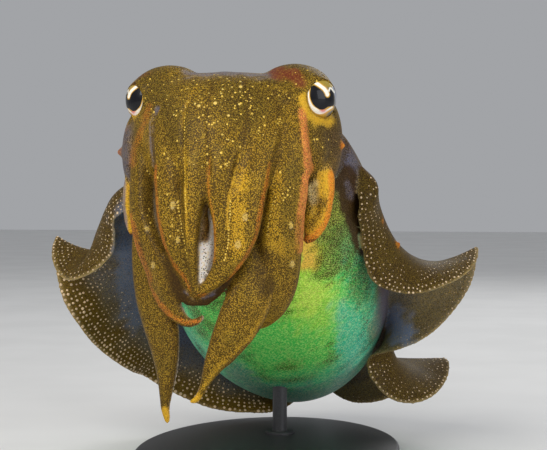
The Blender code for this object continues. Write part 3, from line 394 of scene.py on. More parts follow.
# Rows of beads in the view: distance between beads in pixels, radius and line.
BEAD_ROWS = (
    (3.4, 0.36, ((178, 200), (180, 220), (184, 242), (188, 262))),
    (3.2, 0.36, ((231, 200), (229, 222), (228, 244), (224, 262))),
    (3.2, 0.32, ((185, 110), (184, 150), (185, 190), (186, 214))),
    (4, 0.32, ((276, 196), (270, 214), (267, 236))),
)



# Profiles of small turned shapes: reach and level, each as a share of the radius.
CUP_PROFILE = ((0.5, -0.6), (0.55, 0.1), (0.8, 0.3), (1, 0.52), (0.98, 0.72), (0.78, 0.82),
               (0.56, 0.66), (0.4, 0.4))
CUP_ENDS = (-0.6, 0.36)
DOME_PROFILE = ((1.0, -0.35), (1.0, 0.05), (0.72, 0.28))
DOME_ENDS = (-0.35, 0.38)

# The rod's foot: reach as a share of the rod's radius, and height over the base in mm.
FOOT_PROFILE = ((2.0, 0.05), (2.0, 0.9), (1.9, 1.2), (1.08, 1.3), (1.0, 1.6))

# Colours of the skin's grain, shine and dots.
GRAIN_GOLD = (0.80, 0.50, 0.10)
SHINE_DEEP = (0.03, 0.45, 0.12)
SHINE_BRIGHT = (0.95, 1.0, 0.40)
DOT_GOLD = (0.66, 0.42, 0.03)
DOT_DARK = (0.034, 0.018, 0.004)
CLUB_DOT = (0.022, 0.01, 0.006)
DOT_PALE = (0.85, 0.62, 0.16)

# Suckers: largest and smallest radius, and distance from row to row as a share of the radius.
CUP_LARGEST = 0.9 * MM
CUP_SMALLEST = 0.28 * MM
CUP_PITCH = 2.35

# Fin spots: how many rows, the gap between them, and for each face the largest and smallest radius
# in mm with the distance along a row.
SPOT_ROWS = 12
SPOT_GAP = 2.0 * MM
SPOT_BACK = ((0.44, 0.18), 2.2)
SPOT_UNDER = {1.0: ((0.32, 0.20), 2.3), -1.0: ((0.66, 0.36), 2.3)}
SPOT_SEED = {1.0: 77, -1.0: 78}
BEAD_SEED = 5

# Stage: half the floor, its two tones, the room, and the lights with place, size, power and colour.
FLOOR_HALF = 3.0
FLOOR_TONES = ((0.74, 0.74, 0.73), (0.78, 0.78, 0.77))
ROOM_COLOUR = (0.86, 0.88, 0.92, 1.0)
ROOM_STRENGTH = 0.42
LIGHT_AIM = (0.0, -0.02, 0.09)
LIGHTS = (
    ("key", (-0.30, -0.80, 0.70), 0.60, 8.5, (1.0, 0.97, 0.92)),
    ("fill", (0.75, -0.55, 0.35), 0.60, 3.5, (0.95, 0.97, 1.0)),
    ("rim", (0.25, 0.85, 0.70), 0.50, 2.5, (1.0, 1.0, 1.0)),
)

# What every colour setting shares.
COLOUR = dict(subtype="COLOR", size=3, min=0.0, max=1.0)


class CuttlefishSkin(bpy.types.PropertyGroup):
    """Sizes of the skin that a user would change."""
    fineness: bpy.props.FloatProperty(
        name="Fineness", description="Size of the smallest fold that the skin keeps",
        default=0.6 * MM, min=0.3 * MM, max=3.0 * MM, subtype="DISTANCE")
    softness: bpy.props.IntProperty(
        name="Softness", description="Rounds of smoothing over the whole skin", default=5, min=0, max=40)
    dot_spacing: bpy.props.FloatProperty(
        name="Dot spacing", description="Distance between the skin's colour dots",
        default=0.55 * MM, min=0.2 * MM, max=5.0 * MM, subtype="DISTANCE")
    wetness: bpy.props.FloatProperty(
        name="Wetness", description="How strongly the wet film shines", default=0.03, min=0.0, max=1.0,
        subtype="FACTOR")


class CuttlefishEyes(bpy.types.PropertyGroup):
    """Sizes and colours of the eyes."""
    iris_colour: bpy.props.FloatVectorProperty(
        name="Iris", description="Colour of the bright iris flap", default=(0.90, 0.86, 0.74), **COLOUR)
    pupil_colour: bpy.props.FloatVectorProperty(
        name="Pupil", description="Colour of the pupil", default=(0.002, 0.002, 0.004), **COLOUR)


class CuttlefishCups(bpy.types.PropertyGroup):
    """Sizes of the suckers and of the spots on the fins."""
    cup_colour: bpy.props.FloatVectorProperty(
        name="Suckers", description="Colour of the suckers", default=(0.62, 0.52, 0.40), **COLOUR)
    spot_colour: bpy.props.FloatVectorProperty(
        name="Fin spots", description="Colour of the pale spots on the fins",
        default=(0.74, 0.54, 0.32), **COLOUR)
    bead_colour: bpy.props.FloatVectorProperty(
        name="Skin beads", description="Colour of the beads on the head and arms",
        default=(0.72, 0.47, 0.05), **COLOUR)


class CuttlefishStand(bpy.types.PropertyGroup):
    """Finish of the stand."""
    metal_colour: bpy.props.FloatVectorProperty(
        name="Metal", description="Colour of the painted stand", default=(0.02, 0.02, 0.022), **COLOUR)


def through(knots, values, at):
    """Smooth curve through the values, read at many places."""
    knots = np.asarray(knots, float)
    values = np.asarray(values, float)
    slopes = np.gradient(values, knots, axis=0)
    at = np.clip(np.atleast_1d(at), knots[0], knots[-1])
    index = np.clip(np.searchsorted(knots, at, side="right") - 1, 0, len(knots) - 2)
    span = knots[index + 1] - knots[index]
    part = (at - knots[index]) / span
    if values.ndim > 1:
        span, part = span[:, None], part[:, None]
    start = 2 * part**3 - 3 * part**2 + 1
    leave = part**3 - 2 * part**2 + part
    arrive = part**3 - part**2
    return (start * values[index] + leave * span * slopes[index]
            + (1 - start) * values[index + 1] + arrive * span * slopes[index + 1])


def units(vectors):
    """Each row at length one."""
    return vectors / np.maximum(np.linalg.norm(vectors, axis=-1, keepdims=True), 1e-12)


def full_turn(sides):
    """Angles once around, without the last one."""
    return np.linspace(0.0, 2 * math.pi, sides, endpoint=False)


def rounded_square(turn, squareness):
    """Shares across and out of a ring that goes from an oval at 2 towards a box."""
    power = 2.0 / squareness
    return (np.sign(np.cos(turn)) * np.abs(np.cos(turn)) ** power,
            np.sign(np.sin(turn)) * np.abs(np.sin(turn)) ** power)


def step_between(low, high, value):
    """0 below low, 1 above high and smooth between them."""
    part = np.clip((value - low) / (high - low), 0, 1)
    return part * part * (3.0 - 2.0 * part)


def bell(value, middle, width):
    """1 at the middle, falling to nothing a few widths away."""
    return np.exp(-((value - middle) / width) ** 2)


def blend(first, second, amount):
    """Between two colours, for each point."""
    amount = np.asarray(amount)[..., None]
    return first * (1.0 - amount) + second * amount


def ripple(points, size, seed):
    """A smooth random field between about -1 and 1, from a few sine waves."""
    chance = random.Random(seed)
    field = np.zeros(len(points))
    waves = 9
    for _ in range(waves):
        way = np.array([chance.gauss(0, 1) for _ in range(3)])
        way /= np.linalg.norm(way)
        length = size * chance.uniform(0.7, 1.6)
        field += np.sin(points @ way * 2 * math.pi / length + chance.uniform(0, 2 * math.pi))
    return field / math.sqrt(waves)


def from_head(points):
    """Places about the head's centre, in millimetres."""
    return (points - HEAD_CENTRE) / MM


def body_points(behind, aside, above):
    """Points of the body: behind the collar, to the animal's left, and above the widest line."""
    return (COLLAR + np.multiply.outer(behind, TAILWARD) + np.multiply.outer(aside, SIDEWAYS)
            + np.multiply.outer(above, DORSAL))


class Source:
    """A closed shape with its points' masks, from which the one skin is made."""

    def __init__(self, points, faces, masks, label="body"):
        self.points = np.asarray(points, float)
        self.faces = faces
        self.masks = masks
        self.label = label


def tube_faces(count, sides):
    """Faces of a tube of rings, with a fan to one extra point at each end."""
    faces = []
    for row in range(count - 1):
        for side in range(sides):
            after = (side + 1) % sides
            faces.append((row * sides + side, row * sides + after,
                          (row + 1) * sides + after, (row + 1) * sides + side))
    for side in range(sides):
        after = (side + 1) % sides
        faces.append((count * sides, after, side))
        faces.append((count * sides + 1, (count - 1) * sides + side, (count - 1) * sides + after))
    return faces


def tube(rings, first, last, masks, label="body"):
    """A source from an array of rings, and masks of the same rows."""
    count, sides = rings.shape[:2]
    points = np.concatenate((rings.reshape(-1, 3), [first, last]))
    rows = masks.reshape(-1, MASKS)
    ends = np.array((masks[0].mean(axis=0), masks[-1].mean(axis=0)))
    return Source(points, tube_faces(count, sides), np.concatenate((rows, ends)), label)


def mask_rows(colour, dark=0.0, pale=0.0, shine=0.0, calm=0.0):
    """Masks of each point from a colour and four amounts."""
    colour = np.asarray(colour, float)
    shape = colour.shape[:-1]
    rows = np.zeros(shape + (MASKS,))
    rows[..., :3] = colour
    for place, amount in ((DARK, dark), (PALE, pale), (SHINE, shine), (CALM, calm)):
        rows[..., place] = amount
    return rows


def mantle_source():
    """The mantle: green shining belly, slate and maroon flanks, brown back."""
    count, sides = 110, 150
    places = MANTLE_STATIONS[-1, 0] * np.linspace(0, 1, count)
    wide, high, deep = through(MANTLE_STATIONS[:, 0], MANTLE_STATIONS[:, 1:], places).T
    turn = full_turn(sides)
    up, across = np.sin(turn), np.cos(turn)
    fade = np.clip(1.0 - places / (0.25 * MANTLE_LENGTH), 0, 1)
    lobe = COLLAR_LOBE * fade[:, None] * np.clip(up, 0, 1) ** 2
    behind = places[:, None] - lobe
    height = np.where(up > 0, high[:, None], deep[:, None]) * up
    aside = wide[:, None] * across
    rings = COLLAR + behind[..., None] * TAILWARD + aside[..., None] * SIDEWAYS + height[..., None] * DORSAL
    share = places[:, None] / MANTLE_LENGTH + 0 * up
    level = 0 * places[:, None] + up
    side = 0 * places[:, None] + across
    flat = rings.reshape(-1, 3)
    wander = ripple(flat, 34 * MM, 3).reshape(level.shape)
    fine = ripple(flat, 11 * MM, 5).reshape(level.shape)

    lime = bell(side, 0.30, 0.30) * bell(share, 0.22, 0.28)
    green = blend(BELLY_GREEN, BELLY_LIME, np.clip(lime + 0.25 * fine, 0, 1))
    teal = np.clip(step_between(0.42, 0.80, share + 0.05 * wander)
                   + 0.8 * step_between(0.50, 0.85, np.abs(side)), 0, 1)
    belly = blend(green, BELLY_TEAL, teal)
    belly = blend(belly, BELLY_BLUE, step_between(0.82, 1, share + 0.04 * wander))
    flank = blend(SLATE, MAROON, step_between(-0.1, 0.9, wander + 0.4 * side))
    back = blend(BROWN, OLIVE, np.clip(0.5 + 0.5 * wander, 0, 1))
    colour = blend(belly, flank, step_between(-0.52, -0.22, level + 0.06 * fine))
    colour = blend(colour, back, step_between(-0.12, 0.28, level + 0.07 * fine))
    under = 1.0 - step_between(-0.55, -0.25, level)
    gold_front = np.clip(bell(share, 0.06, 0.12) * under, 0, 1)
    colour = blend(colour, GOLD, 0.75 * gold_front)
    dark = 0.55 * (1 - under) + 0.8 * under * np.clip(1.25 - 1.3 * share + 0.3 * fine, 0, 1)
    pale = 0.35 * step_between(0, 0.35, level)
    masks = mask_rows(colour, dark=dark, pale=pale, shine=under * (1 - 0.6 * gold_front), calm=0.0)
    first = COLLAR
    last = body_points(np.array(MANTLE_LENGTH), np.array(0.0), np.array(0.0))
    return tube(rings, first, last, masks, "mantle")


def head_source():
    """The head's rounded body; its brows over the eyes and the forehead's grooves are added by other parts.
    """
    count, sides = 110, 168
    knots, sizes = HEAD_STATIONS[:, 0], HEAD_STATIONS[:, 1:]
    places = np.linspace(knots[0], knots[-1], count)
    wide, top, bottom = through(knots, sizes, places).T
    middle, tall = (top + bottom) / 2, (top - bottom) / 2
    across, up = rounded_square(full_turn(sides), HEAD_SQUARENESS)
    settle = np.clip(1.0 - (places - knots[0]) / (34.0 * MM), 0, 1)
    lean = (tall * settle)[:, None] * up * HEAD_LEAN
    x = wide[:, None] * across
    y = places[:, None] - lean
    z = middle[:, None] + tall[:, None] * up
    rings = HEAD_CENTRE + np.stack((x, y, z), axis=-1)
    colour = head_colour(rings.reshape(-1, 3)).reshape(count, sides, MASKS)
    first = HEAD_CENTRE + np.array((0.0, knots[0], (top[0] + bottom[0]) / 2))
    last = HEAD_CENTRE + np.array((0.0, knots[-1], (top[-1] + bottom[-1]) / 2))
    return tube(rings, first, last, colour, "head")


def head_colour(points):
    """Olive gold in front, slate on the rim and the sides, pale below."""
    x, y, z = from_head(points).T
    wander = ripple(points, 16 * MM, 21)
    colour = blend(OLIVE, GOLD, np.clip(0.20 + 0.16 * wander - 0.010 * (z + 10), 0, 1))
    colour = blend(colour, SLATE, 0.8 * step_between(8.6, 11, z) * step_between(12, 5, np.abs(x)))
    colour = blend(colour, SLATE, 0.75 * step_between(7, 22, y))
    flank = step_between(29, 36, np.abs(x)) * step_between(-5, -12, z)
    colour = blend(colour, blend(SLATE * 0.8, BROWN, (x > 0) * 0.75), 0.7 * flank)
    under = step_between(-24, -32, z)
    colour = blend(colour, BROWN, 0.6 * under)
    pale = 0.75 * step_between(-18, 2, z) * step_between(24, 8, np.abs(x)) + 0.3
    return mask_rows(colour, dark=0.75, pale=pale)


def oval_source(centre, size, colour, count=40, sides=56):
    """A closed egg with three half sizes."""
    polar = np.linspace(0.0, math.pi, count + 2)[1:-1]
    around = full_turn(sides)
    local = np.stack((np.sin(polar)[:, None] * np.cos(around), np.sin(polar)[:, None] * np.sin(around),
                      np.cos(polar)[:, None] + 0 * around), axis=-1) * size
    rings = centre + local
    tip = np.array((0.0, 0.0, size[2]))
    rows = colour(rings.reshape(-1, 3)).reshape(rings.shape[:2] + (MASKS,))
    return tube(rings, centre + tip, centre - tip, rows)


def eye_frame(side):
    """Centre of an eye, and the ways that it looks, across towards the front, and up."""
    centre = HEAD_CENTRE + EYE_CENTRE * np.array((side, 1.0, 1.0))
    look = np.array((side * math.sin(EYE_AZIMUTH), -math.cos(EYE_AZIMUTH), 0.0))
    across = np.array((-side * math.cos(EYE_AZIMUTH), -math.sin(EYE_AZIMUTH), 0.0))
    return centre, look, across, np.array((0.0, 0.0, 1.0))


def lid_source(side):
    """The fold of skin about an eye, along its opening, heavier above."""
    centre = eye_frame(side)[0]
    count, sides = 120, 20
    around = full_turn(count)
    oval = np.stack((np.cos(around), np.sin(around)), axis=-1)
    flat = EYE_SHIFT + 1.03 * EYE_OPENING * EYE_NARROW[side] * oval
    reach = np.linalg.norm(flat, axis=1)
    limit = 0.985 * EYE_RADIUS
    flat *= np.minimum(1.0, limit / reach)[:, None]
    out = np.sqrt(np.maximum(EYE_RADIUS ** 2 - np.sum(flat ** 2, axis=1), 0.0))
    way, across, up = side_ways(side)
    middle = centre + flat[:, :1] * across + flat[:, 1:] * up - out[:, None] * way
    away = units(middle - centre)
    along = units(np.roll(middle, -1, axis=0) - np.roll(middle, 1, axis=0))
    sideways = np.cross(along, away)
    brow = np.clip(np.sin(around - 0.35), 0, 1) ** 1.5
    turn = full_turn(sides)
    radius = LID_THICKNESS * (0.75 + 0.85 * brow)
    middle = middle + 0.25 * LID_THICKNESS * away
    rings = (middle[:, None, :] + radius[:, None, None] * (
        np.cos(turn)[None, :, None] * away[:, None, :]
        + np.sin(turn)[None, :, None] * sideways[:, None, :]))
    points = rings.reshape(-1, 3)
    here = np.arange(count * sides).reshape(count, sides)
    after = np.roll(here, -1, axis=1)
    around_faces = np.stack((here, after, np.roll(after, -1, axis=0), np.roll(here, -1, axis=0)), axis=-1)
    faces = [tuple(face) for face in around_faces.reshape(-1, 4).tolist()]
    masks = head_colour(points)
    masks[:, DARK] = 0.4
    edge = np.repeat(np.clip(np.cos(around), 0, 1), sides)
    below = np.repeat(np.clip(-np.sin(around - 0.3), 0, 1), sides)
    masks[:, :3] = blend(masks[:, :3], EYE_BLUE * 0.7, 0.75 * edge)
    masks[:, :3] = blend(masks[:, :3], GOLD * 1.15, 0.7 * below)
    return Source(points, faces, masks, "lid")


def lifted(places):
    """Stations about the head's centre from places in the view with a depth, half width and half depth."""
    across, down, ahead, wide, deep = np.array(places, float).T
    lens, way = view_rays(across, down)
    far = (ahead * MM - lens[1]) / way[:, 1]
    return np.concatenate((lens + far[:, None] * way, np.stack((wide, deep), axis=1) * MM), axis=1)


def arm_shape(spec):
    """Centre line of an arm: share of its length at each station, stations and length."""
    stations = lifted(spec["places"]) if "places" in spec else np.array(spec["stations"], float) * MM
    steps = np.linalg.norm(np.diff(stations[:, :3], axis=0), axis=1)
    share = np.concatenate(((0.0,), np.cumsum(steps)))
    stations[:, :3] += HEAD_CENTRE
    return share / share[-1], stations, share[-1]


def arm_frames(spec, places):
    """Centres, outer faces, sides, half widths and half depths at shares of an arm's length."""
    share, stations, _ = arm_shape(spec)
    here = through(share, stations, places)
    step = 0.01
    ahead = through(share, stations, np.minimum(1.0, places + step))[:, :3]
    back = through(share, stations, np.maximum(0.0, places - step))[:, :3]
    along = units(ahead - back)
    outward = np.array(spec["outward"])
    outward = units(outward - along * (along @ outward)[:, None])
    return here[:, :3], outward, np.cross(along, outward), here[:, 3], here[:, 4], along


def arm_source(name, spec):
    """One arm, flatter on the side of its suckers, with a keel along its outer edge."""
    count, sides = 130, 60
    places = np.linspace(0, 1, count)
    centre, outward, sideways, wide, deep, along = arm_frames(spec, places)
    outer = math.copysign(1.0, centre[0, 0] + 3.0 * MM)
    squareness = 2.0 if name.startswith("tentacle") else ARM_SQUARENESS
    across, out = rounded_square(full_turn(sides), squareness)
    keel = spec["keel"] * MM * np.minimum(1.0, wide / (4.0 * MM))
    edge = np.clip(across * -outer, -1.0, 1.0)
    ridge = keel[:, None] * np.clip(edge * (1.0 - np.abs(out)), 0, 1) ** 2 * -outer
    reach = np.where(out > 0, deep[:, None], deep[:, None] * ORAL_FLATNESS)
    rings = (centre[:, None, :] + (wide[:, None] * across + ridge)[..., None] * sideways[:, None, :]
             + (reach * out)[..., None] * outward[:, None, :])
    place = places[:, None] + 0 * edge
    edge = edge + 0 * place
    out = out + 0 * place
    rows = arm_colour(name, rings, place, edge, out)
    return tube(rings, centre[0], centre[-1] + 0.3 * MM * along[-1], rows, name)


def arm_colour(name, rings, place, edge, out):
    """Olive gold on the outer face, turning brown towards its sides as painted shade, and pale flesh on the
    sucker side.
    """
    flat = rings.reshape(-1, 3)
    wander = ripple(flat, 13 * MM, 31).reshape(place.shape)
    if name.startswith("tentacle"):
        return mask_rows(FLESH * 1.25 + 0 * place[..., None], dark=0.0, calm=1.0)
    pair = int(name.split("_")[1])
    warm = ARM_GOLD[name] + 0.14 * wander + 0.14 * bell(place, 0.6, 0.3)
    colour = blend(OLIVE, GOLD, np.clip(warm, 0, 1))
    # Painted shade: the outer face turns brown towards the arm's edges, where the surface turns away from
    # the light.
    shade = step_between(0.55, 0.95, np.abs(edge)) * step_between(0.15, 0.3, place)
    colour = blend(colour, BROWN, 0.45 * shade)
    under = step_between(-0.25, -0.7, out)
    colour = blend(colour, FLESH * 0.85, under)
    dark = (0.8 + 0.12 * wander) * (1 - under)
    pale = (0.5 if pair in (1, 2) else 0.25) * (1 - under) * step_between(0.8, 0.3, place)
    return mask_rows(colour, dark=dark, pale=pale)


def fin_surface(side, stations, behind, share):
    """Points of a fin's middle surface for arrays of places and shares of the width."""
    width, angle, curl = through(stations[:, 0], stations[:, 1:], behind).T
    wide = through(MANTLE_STATIONS[:, 0], MANTLE_STATIONS[:, 1], behind)
    steps = 12
    lateral, rise = np.zeros(len(behind)), np.zeros(len(behind))
    for step in range(steps):
        middle = share * (step + 0.5) / steps
        lean = np.radians(angle + curl * (middle - 0.5))
        lateral += np.cos(lean) * share * width / steps
        rise += np.sin(lean) * share * width / steps
    return body_points(behind, side * (wide + lateral), rise)


def fin_frame(side, stations, behind, share):
    """Points of a fin with the unit vector across its thickness, towards the back face."""
    tiny = 0.2 * MM
    here = fin_surface(side, stations, behind, share)
    along = (fin_surface(side, stations, behind + tiny, share)
             - fin_surface(side, stations, behind - tiny, share))
    out = (fin_surface(side, stations, behind, np.minimum(1.0, share + 0.02))
           - fin_surface(side, stations, behind, np.maximum(0.0, share - 0.02)))
    return here, units(np.cross(out, along)) * side


def fin_stations(name):
    """A fin's stations in metres and degrees."""
    stations = np.array(FINS[name])
    stations[:, :2] *= MM
    return stations


def fin_thickness(share):
    """Thickness of a fin at a share of its width."""
    return FIN_ROOT_THICKNESS + (FIN_EDGE_THICKNESS - FIN_ROOT_THICKNESS) * share ** 0.6


def fin_source(name, side):
    """A fin as a thin waved sheet with a back face and an under face."""
    stations = fin_stations(name)
    rows, bands = 230, 44
    places = np.linspace(FIN_START, FIN_END, rows)
    shares = np.linspace(0, 1, bands)
    behind, share = (grid.ravel() for grid in np.meshgrid(places, shares, indexing="ij"))
    here, across = fin_frame(side, stations, behind, share)
    here = here - np.where(share == 0.0, FIN_ROOT_INSIDE * side, 0.0)[:, None] * SIDEWAYS
    half = fin_thickness(share)[:, None] / 2
    points = np.concatenate((here + across * half, here - across * half))
    total = rows * bands
    faces = []
    for row in range(rows - 1):
        for band in range(bands - 1):
            a = row * bands + band
            b, c, d = a + 1, a + bands + 1, a + bands
            faces.append((a, b, c, d))
            faces.append((total + a, total + d, total + c, total + b))
    rim = ([band for band in range(bands)]
           + [row * bands + bands - 1 for row in range(1, rows)]
           + [(rows - 1) * bands + band for band in range(bands - 2, -1, -1)]
           + [row * bands for row in range(rows - 2, 0, -1)])
    for place, here_index in enumerate(rim):
        after = rim[(place + 1) % len(rim)]
        faces.append((here_index, total + here_index, total + after, after))
    masks = np.concatenate((fin_colour(points[:total], share, side, True),
                            fin_colour(points[total:], share, side, False)))
    return Source(points, faces, masks, "fin_" + name)


def fin_colour(points, share, side, upper):
    """Brown above, partly the fin's own colour and partly painted shade, with a pale rim, blue and grey
    below near the root.
    """
    wander = ripple(points, 15 * MM, 41)
    if upper:
        # The dark brown and the darkened olive are partly the fin's own colour and partly painted shade.
        colour = blend(FIN_BROWN_AND_SHADE, OLIVE * 0.7, np.clip(0.35 + 0.3 * wander, 0, 1))
        colour = blend(colour, MAROON * 0.6, 0.6 * step_between(0.5, 0.05, share))
        dark = 0.75 + 0 * share
    else:
        inner, middle, outer = UNDER_FIN[side]
        colour = blend(inner, middle, step_between(0.15, 0.55, share + 0.08 * wander))
        colour = blend(colour, outer, step_between(0.45, 0.85, share + 0.08 * wander))
        dark = 0.4 + 0 * share
    rim = step_between(0.968, 0.99, share)
    colour = blend(colour, CREAM * 0.45, 0.8 * rim)
    return mask_rows(colour, dark=dark * (1 - rim), pale=0.0)


def mouth_source():
    """The round membrane about the mouth, with its lips drawn in."""
    up = np.array((0.0, -math.sin(CROWN_TILT), math.cos(CROWN_TILT)))
    profile = np.array(((-1.0, 0.9), (0.0, 1.0), (0.35, 1.0), (0.6, 0.9), (0.8, 0.75), (0.95, 0.58),
                        (1.0, 0.45), (0.97, 0.34), (0.85, 0.26), (0.6, 0.2)))
    turn = full_turn(48)
    pleat = 1.0 + 0.05 * np.cos(8 * turn)
    ring = (np.cos(turn)[:, None] * SIDEWAYS + np.sin(turn)[:, None] * up) * pleat[:, None]
    rings = (CROWN_MIDDLE + MOUTH_LENGTH * profile[:, 0, None, None] * CROWN_OUT
             + MOUTH_RADIUS * profile[:, 1, None, None] * ring[None])
    rows = mask_rows(FLESH * np.array((0.95, 0.72, 0.6)) + np.zeros(rings.shape[:2] + (3,)), dark=0.1)
    return tube(rings, CROWN_MIDDLE - MOUTH_LENGTH * CROWN_OUT,
                CROWN_MIDDLE + 0.5 * MOUTH_LENGTH * CROWN_OUT, rows)


def funnel_source():
    """The funnel under the head, open at its front end."""
    points = np.array(FUNNEL_POINTS) * MM
    along = units(points[-1, :3] - points[0, :3])
    up = np.array((0.0, along[2], -along[1]))
    turn = full_turn(56)
    round_way = np.cos(turn)[:, None] * SIDEWAYS, np.sin(turn)[:, None] * up
    rings = []
    for row in through(np.array((0.0, 0.5, 1.0)), points, np.linspace(0, 1, 30)):
        rings.append(HEAD_CENTRE + row[:3] + row[3] * round_way[0] + row[4] * round_way[1])
    lip = points[-1]
    for depth in np.linspace(0, 1, 12):
        inset = FUNNEL_WALL * min(1.0, 0.4 + 2.0 * depth)
        rings.append(HEAD_CENTRE + lip[:3] - FUNNEL_DEPTH * depth * along
                     + (lip[3] - inset) * round_way[0] + (lip[4] - inset) * round_way[1])
    rings = np.array(rings)
    rows = mask_rows(FLESH * 0.9 + np.zeros(rings.shape[:2] + (3,)), dark=0.25)
    last = HEAD_CENTRE + lip[:3] - (FUNNEL_DEPTH + MM) * along
    return tube(rings, HEAD_CENTRE + points[0, :3], last, rows)


def flap_colour(points):
    """Cream inside with dark speckles, and an orange rim."""
    z = from_head(points)[:, 2]
    colour = blend(GOLD * 0.85, CREAM, 0.15 * step_between(-45, -25, z))
    colour = blend(colour, ORANGE, step_between(-38, -46, z))
    return mask_rows(colour, dark=0.8, pale=0.1)


def hood_source():
    """The forehead that joins the arms' roots into one smooth slope."""
    count, sides = 90, 150
    places = np.linspace(0, 1, count)
    knots = np.linspace(0, 1, len(HOOD_STATIONS))
    height, wide, front = through(knots, HOOD_STATIONS, places).T
    turn = full_turn(sides)
    x = HOOD_MIDDLE[0] + wide[:, None] * np.cos(turn)
    deep = np.where(np.sin(turn) < 0, HOOD_MIDDLE[1] - front[:, None], 4.0 * MM)
    y = HOOD_MIDDLE[1] + deep * np.sin(turn)
    rings = HEAD_CENTRE + np.stack((x, y, height[:, None] + 0 * x), axis=-1)
    rows = head_colour(rings.reshape(-1, 3)).reshape(count, sides, MASKS)
    first = HEAD_CENTRE + np.array((HOOD_MIDDLE[0], HOOD_MIDDLE[1], height[0] + 0.5 * MM))
    last = HEAD_CENTRE + np.array((HOOD_MIDDLE[0], HOOD_MIDDLE[1], height[-1]))
    return tube(rings, first, last, rows, "hood")


def ribbon_source(label, stations, outward, colour):
    """A flat strap of skin from centre points, half widths and half depths about the head's centre."""
    spec = dict(outward=outward, stations=stations)
    places = np.linspace(0, 1, 90)
    centre, out_way, sideways, wide, deep, _ = arm_frames(spec, places)
    across, out = rounded_square(full_turn(48), RIBBON_SQUARENESS)
    rings = (centre[:, None, :] + (wide[:, None] * across)[..., None] * sideways[:, None, :]
             + (deep[:, None] * out)[..., None] * out_way[:, None, :])
    rows = colour(rings.reshape(-1, 3)).reshape(rings.shape[:2] + (MASKS,))
    return tube(rings, centre[0], centre[-1], rows, label)


def plain_colour(colour, **amounts):
    """A colour function that gives every point the same masks."""
    return lambda points: mask_rows(np.asarray(colour, float) + np.zeros((len(points), 3)), **amounts)


def cheek_sources():
    """The fold of skin that hangs below each eye, the web between the upper arms, and a dark sheet behind
    the arms' tips that is painted shade.
    """
    return [
        ribbon_source("flap_left", FLAP_LEFT, (0.2, -0.98, 0.0), flap_colour),
        ribbon_source("flap_right", FLAP_RIGHT, (-0.9, -0.44, 0.0), flap_colour),
        ribbon_source("web", WEB, (0.05, -1.0, 0.0), plain_colour(BROWN * 1.6, dark=0.6)),
        # Painted shade: the back web is dark brown to stand for the shadow in the hollow behind the arms'
        # tips.
        ribbon_source("web", SHADE_WEB, (0.05, -1.0, 0.0), plain_colour(BROWN * 0.5, dark=0.6)),
    ]


def bump_sources():
    """Small pointed warts on the head and the flanks."""
    sources = []
    for place, size in WARTS:
        centre = HEAD_CENTRE + np.array(place) * MM
        sources.append(oval_source(centre, np.full(3, size * MM), plain_colour(ORANGE, dark=0.2), 14, 20))
    return sources


def make_mesh(name, points, faces):
    """A mesh object from arrays, linked to the scene."""
    mesh = bpy.data.meshes.new(name)
    mesh.from_pydata([tuple(point) for point in np.asarray(points, float).tolist()], [], faces)
    mesh.validate()
    thing = bpy.data.objects.new(name, mesh)
    bpy.context.scene.collection.objects.link(thing)
    return thing


def tidy_normals(thing):
    """Turn every face to point out, and shade smooth."""
    body = bmesh.new()
    body.from_mesh(thing.data)
    bmesh.ops.recalc_face_normals(body, faces=body.faces)
    body.to_mesh(thing.data)
    body.free()
    thing.data.shade_smooth()


def evaluated(thing):
    """Replace an object's mesh by what its modifiers make of it."""
    viewer = bpy.context.evaluated_depsgraph_get()
    made = bpy.data.meshes.new_from_object(thing.evaluated_get(viewer))
    old = thing.data
    thing.modifiers.clear()
    thing.data = made
    bpy.data.meshes.remove(old)


def read_rows(items, name, width=3, kind=float):
    """One property of a mesh's points, edges or normals as rows of an array."""
    flat = np.empty(len(items) * width, dtype=kind)
    items.foreach_get(name, flat)
    return flat.reshape(-1, width)


def relax(values, edges, rounds, share):
    """Move each point's values towards its neighbours' mean, by a share for each point."""
    count = len(values)
    weight = np.bincount(edges.ravel(), minlength=count).astype(float)
    weight = np.maximum(weight, 1.0)
    share = np.broadcast_to(np.asarray(share, float), (count,))[:, None]
    for _ in range(rounds):
        total = np.empty_like(values)
        for column in range(values.shape[1]):
            total[:, column] = (np.bincount(edges[:, 0], values[edges[:, 1], column], count)
                                + np.bincount(edges[:, 1], values[edges[:, 0], column], count))
        values = values + share * (total / weight[:, None] - values)
    return values


def carve_sockets(thing):
    """Open the head where the eyes sit, and clear the way in front of each."""
    for side in (-1.0, 1.0):
        centre = eye_frame(side)[0]
        bpy.ops.mesh.primitive_uv_sphere_add(segments=64, ring_count=32, radius=EYE_RADIUS + 0.1 * MM,
                                             location=tuple(centre))
        ball = bpy.context.object
        way, across, up = side_ways(side)
        middle = centre + EYE_SHIFT[0] * across + EYE_SHIFT[1] * up
        turn = full_turn(64)
        flat = EYE_OPENING * EYE_NARROW[side] * np.stack((np.cos(turn), np.sin(turn)), axis=-1)
        edge = np.linalg.norm(EYE_SHIFT + flat, axis=1)
        flat = (EYE_SHIFT + flat) * np.minimum(1.0, 0.96 * EYE_RADIUS / edge)[:, None] - EYE_SHIFT
        rim = flat[:, :1] * across + flat[:, 1:] * up
        flare = ((0.0, 0.9), (-6.0, 0.97), (-9.0, 1.03), (-20.0, 1.5))
        rings = np.array([middle + depth * MM * way + rim * size for depth, size in flare])
        points = np.concatenate((rings.reshape(-1, 3), [middle, middle - 20 * MM * way]))
        cone = make_mesh("cutter", points, tube_faces(len(flare), len(turn)))
        tidy_normals(cone)
        for cutter in (ball, cone):
            change = thing.modifiers.new("socket", "BOOLEAN")
            change.object = cutter
            change.operation = "DIFFERENCE"
            change.solver = "MANIFOLD"
            evaluated(thing)
            bpy.data.objects.remove(cutter, do_unlink=True)


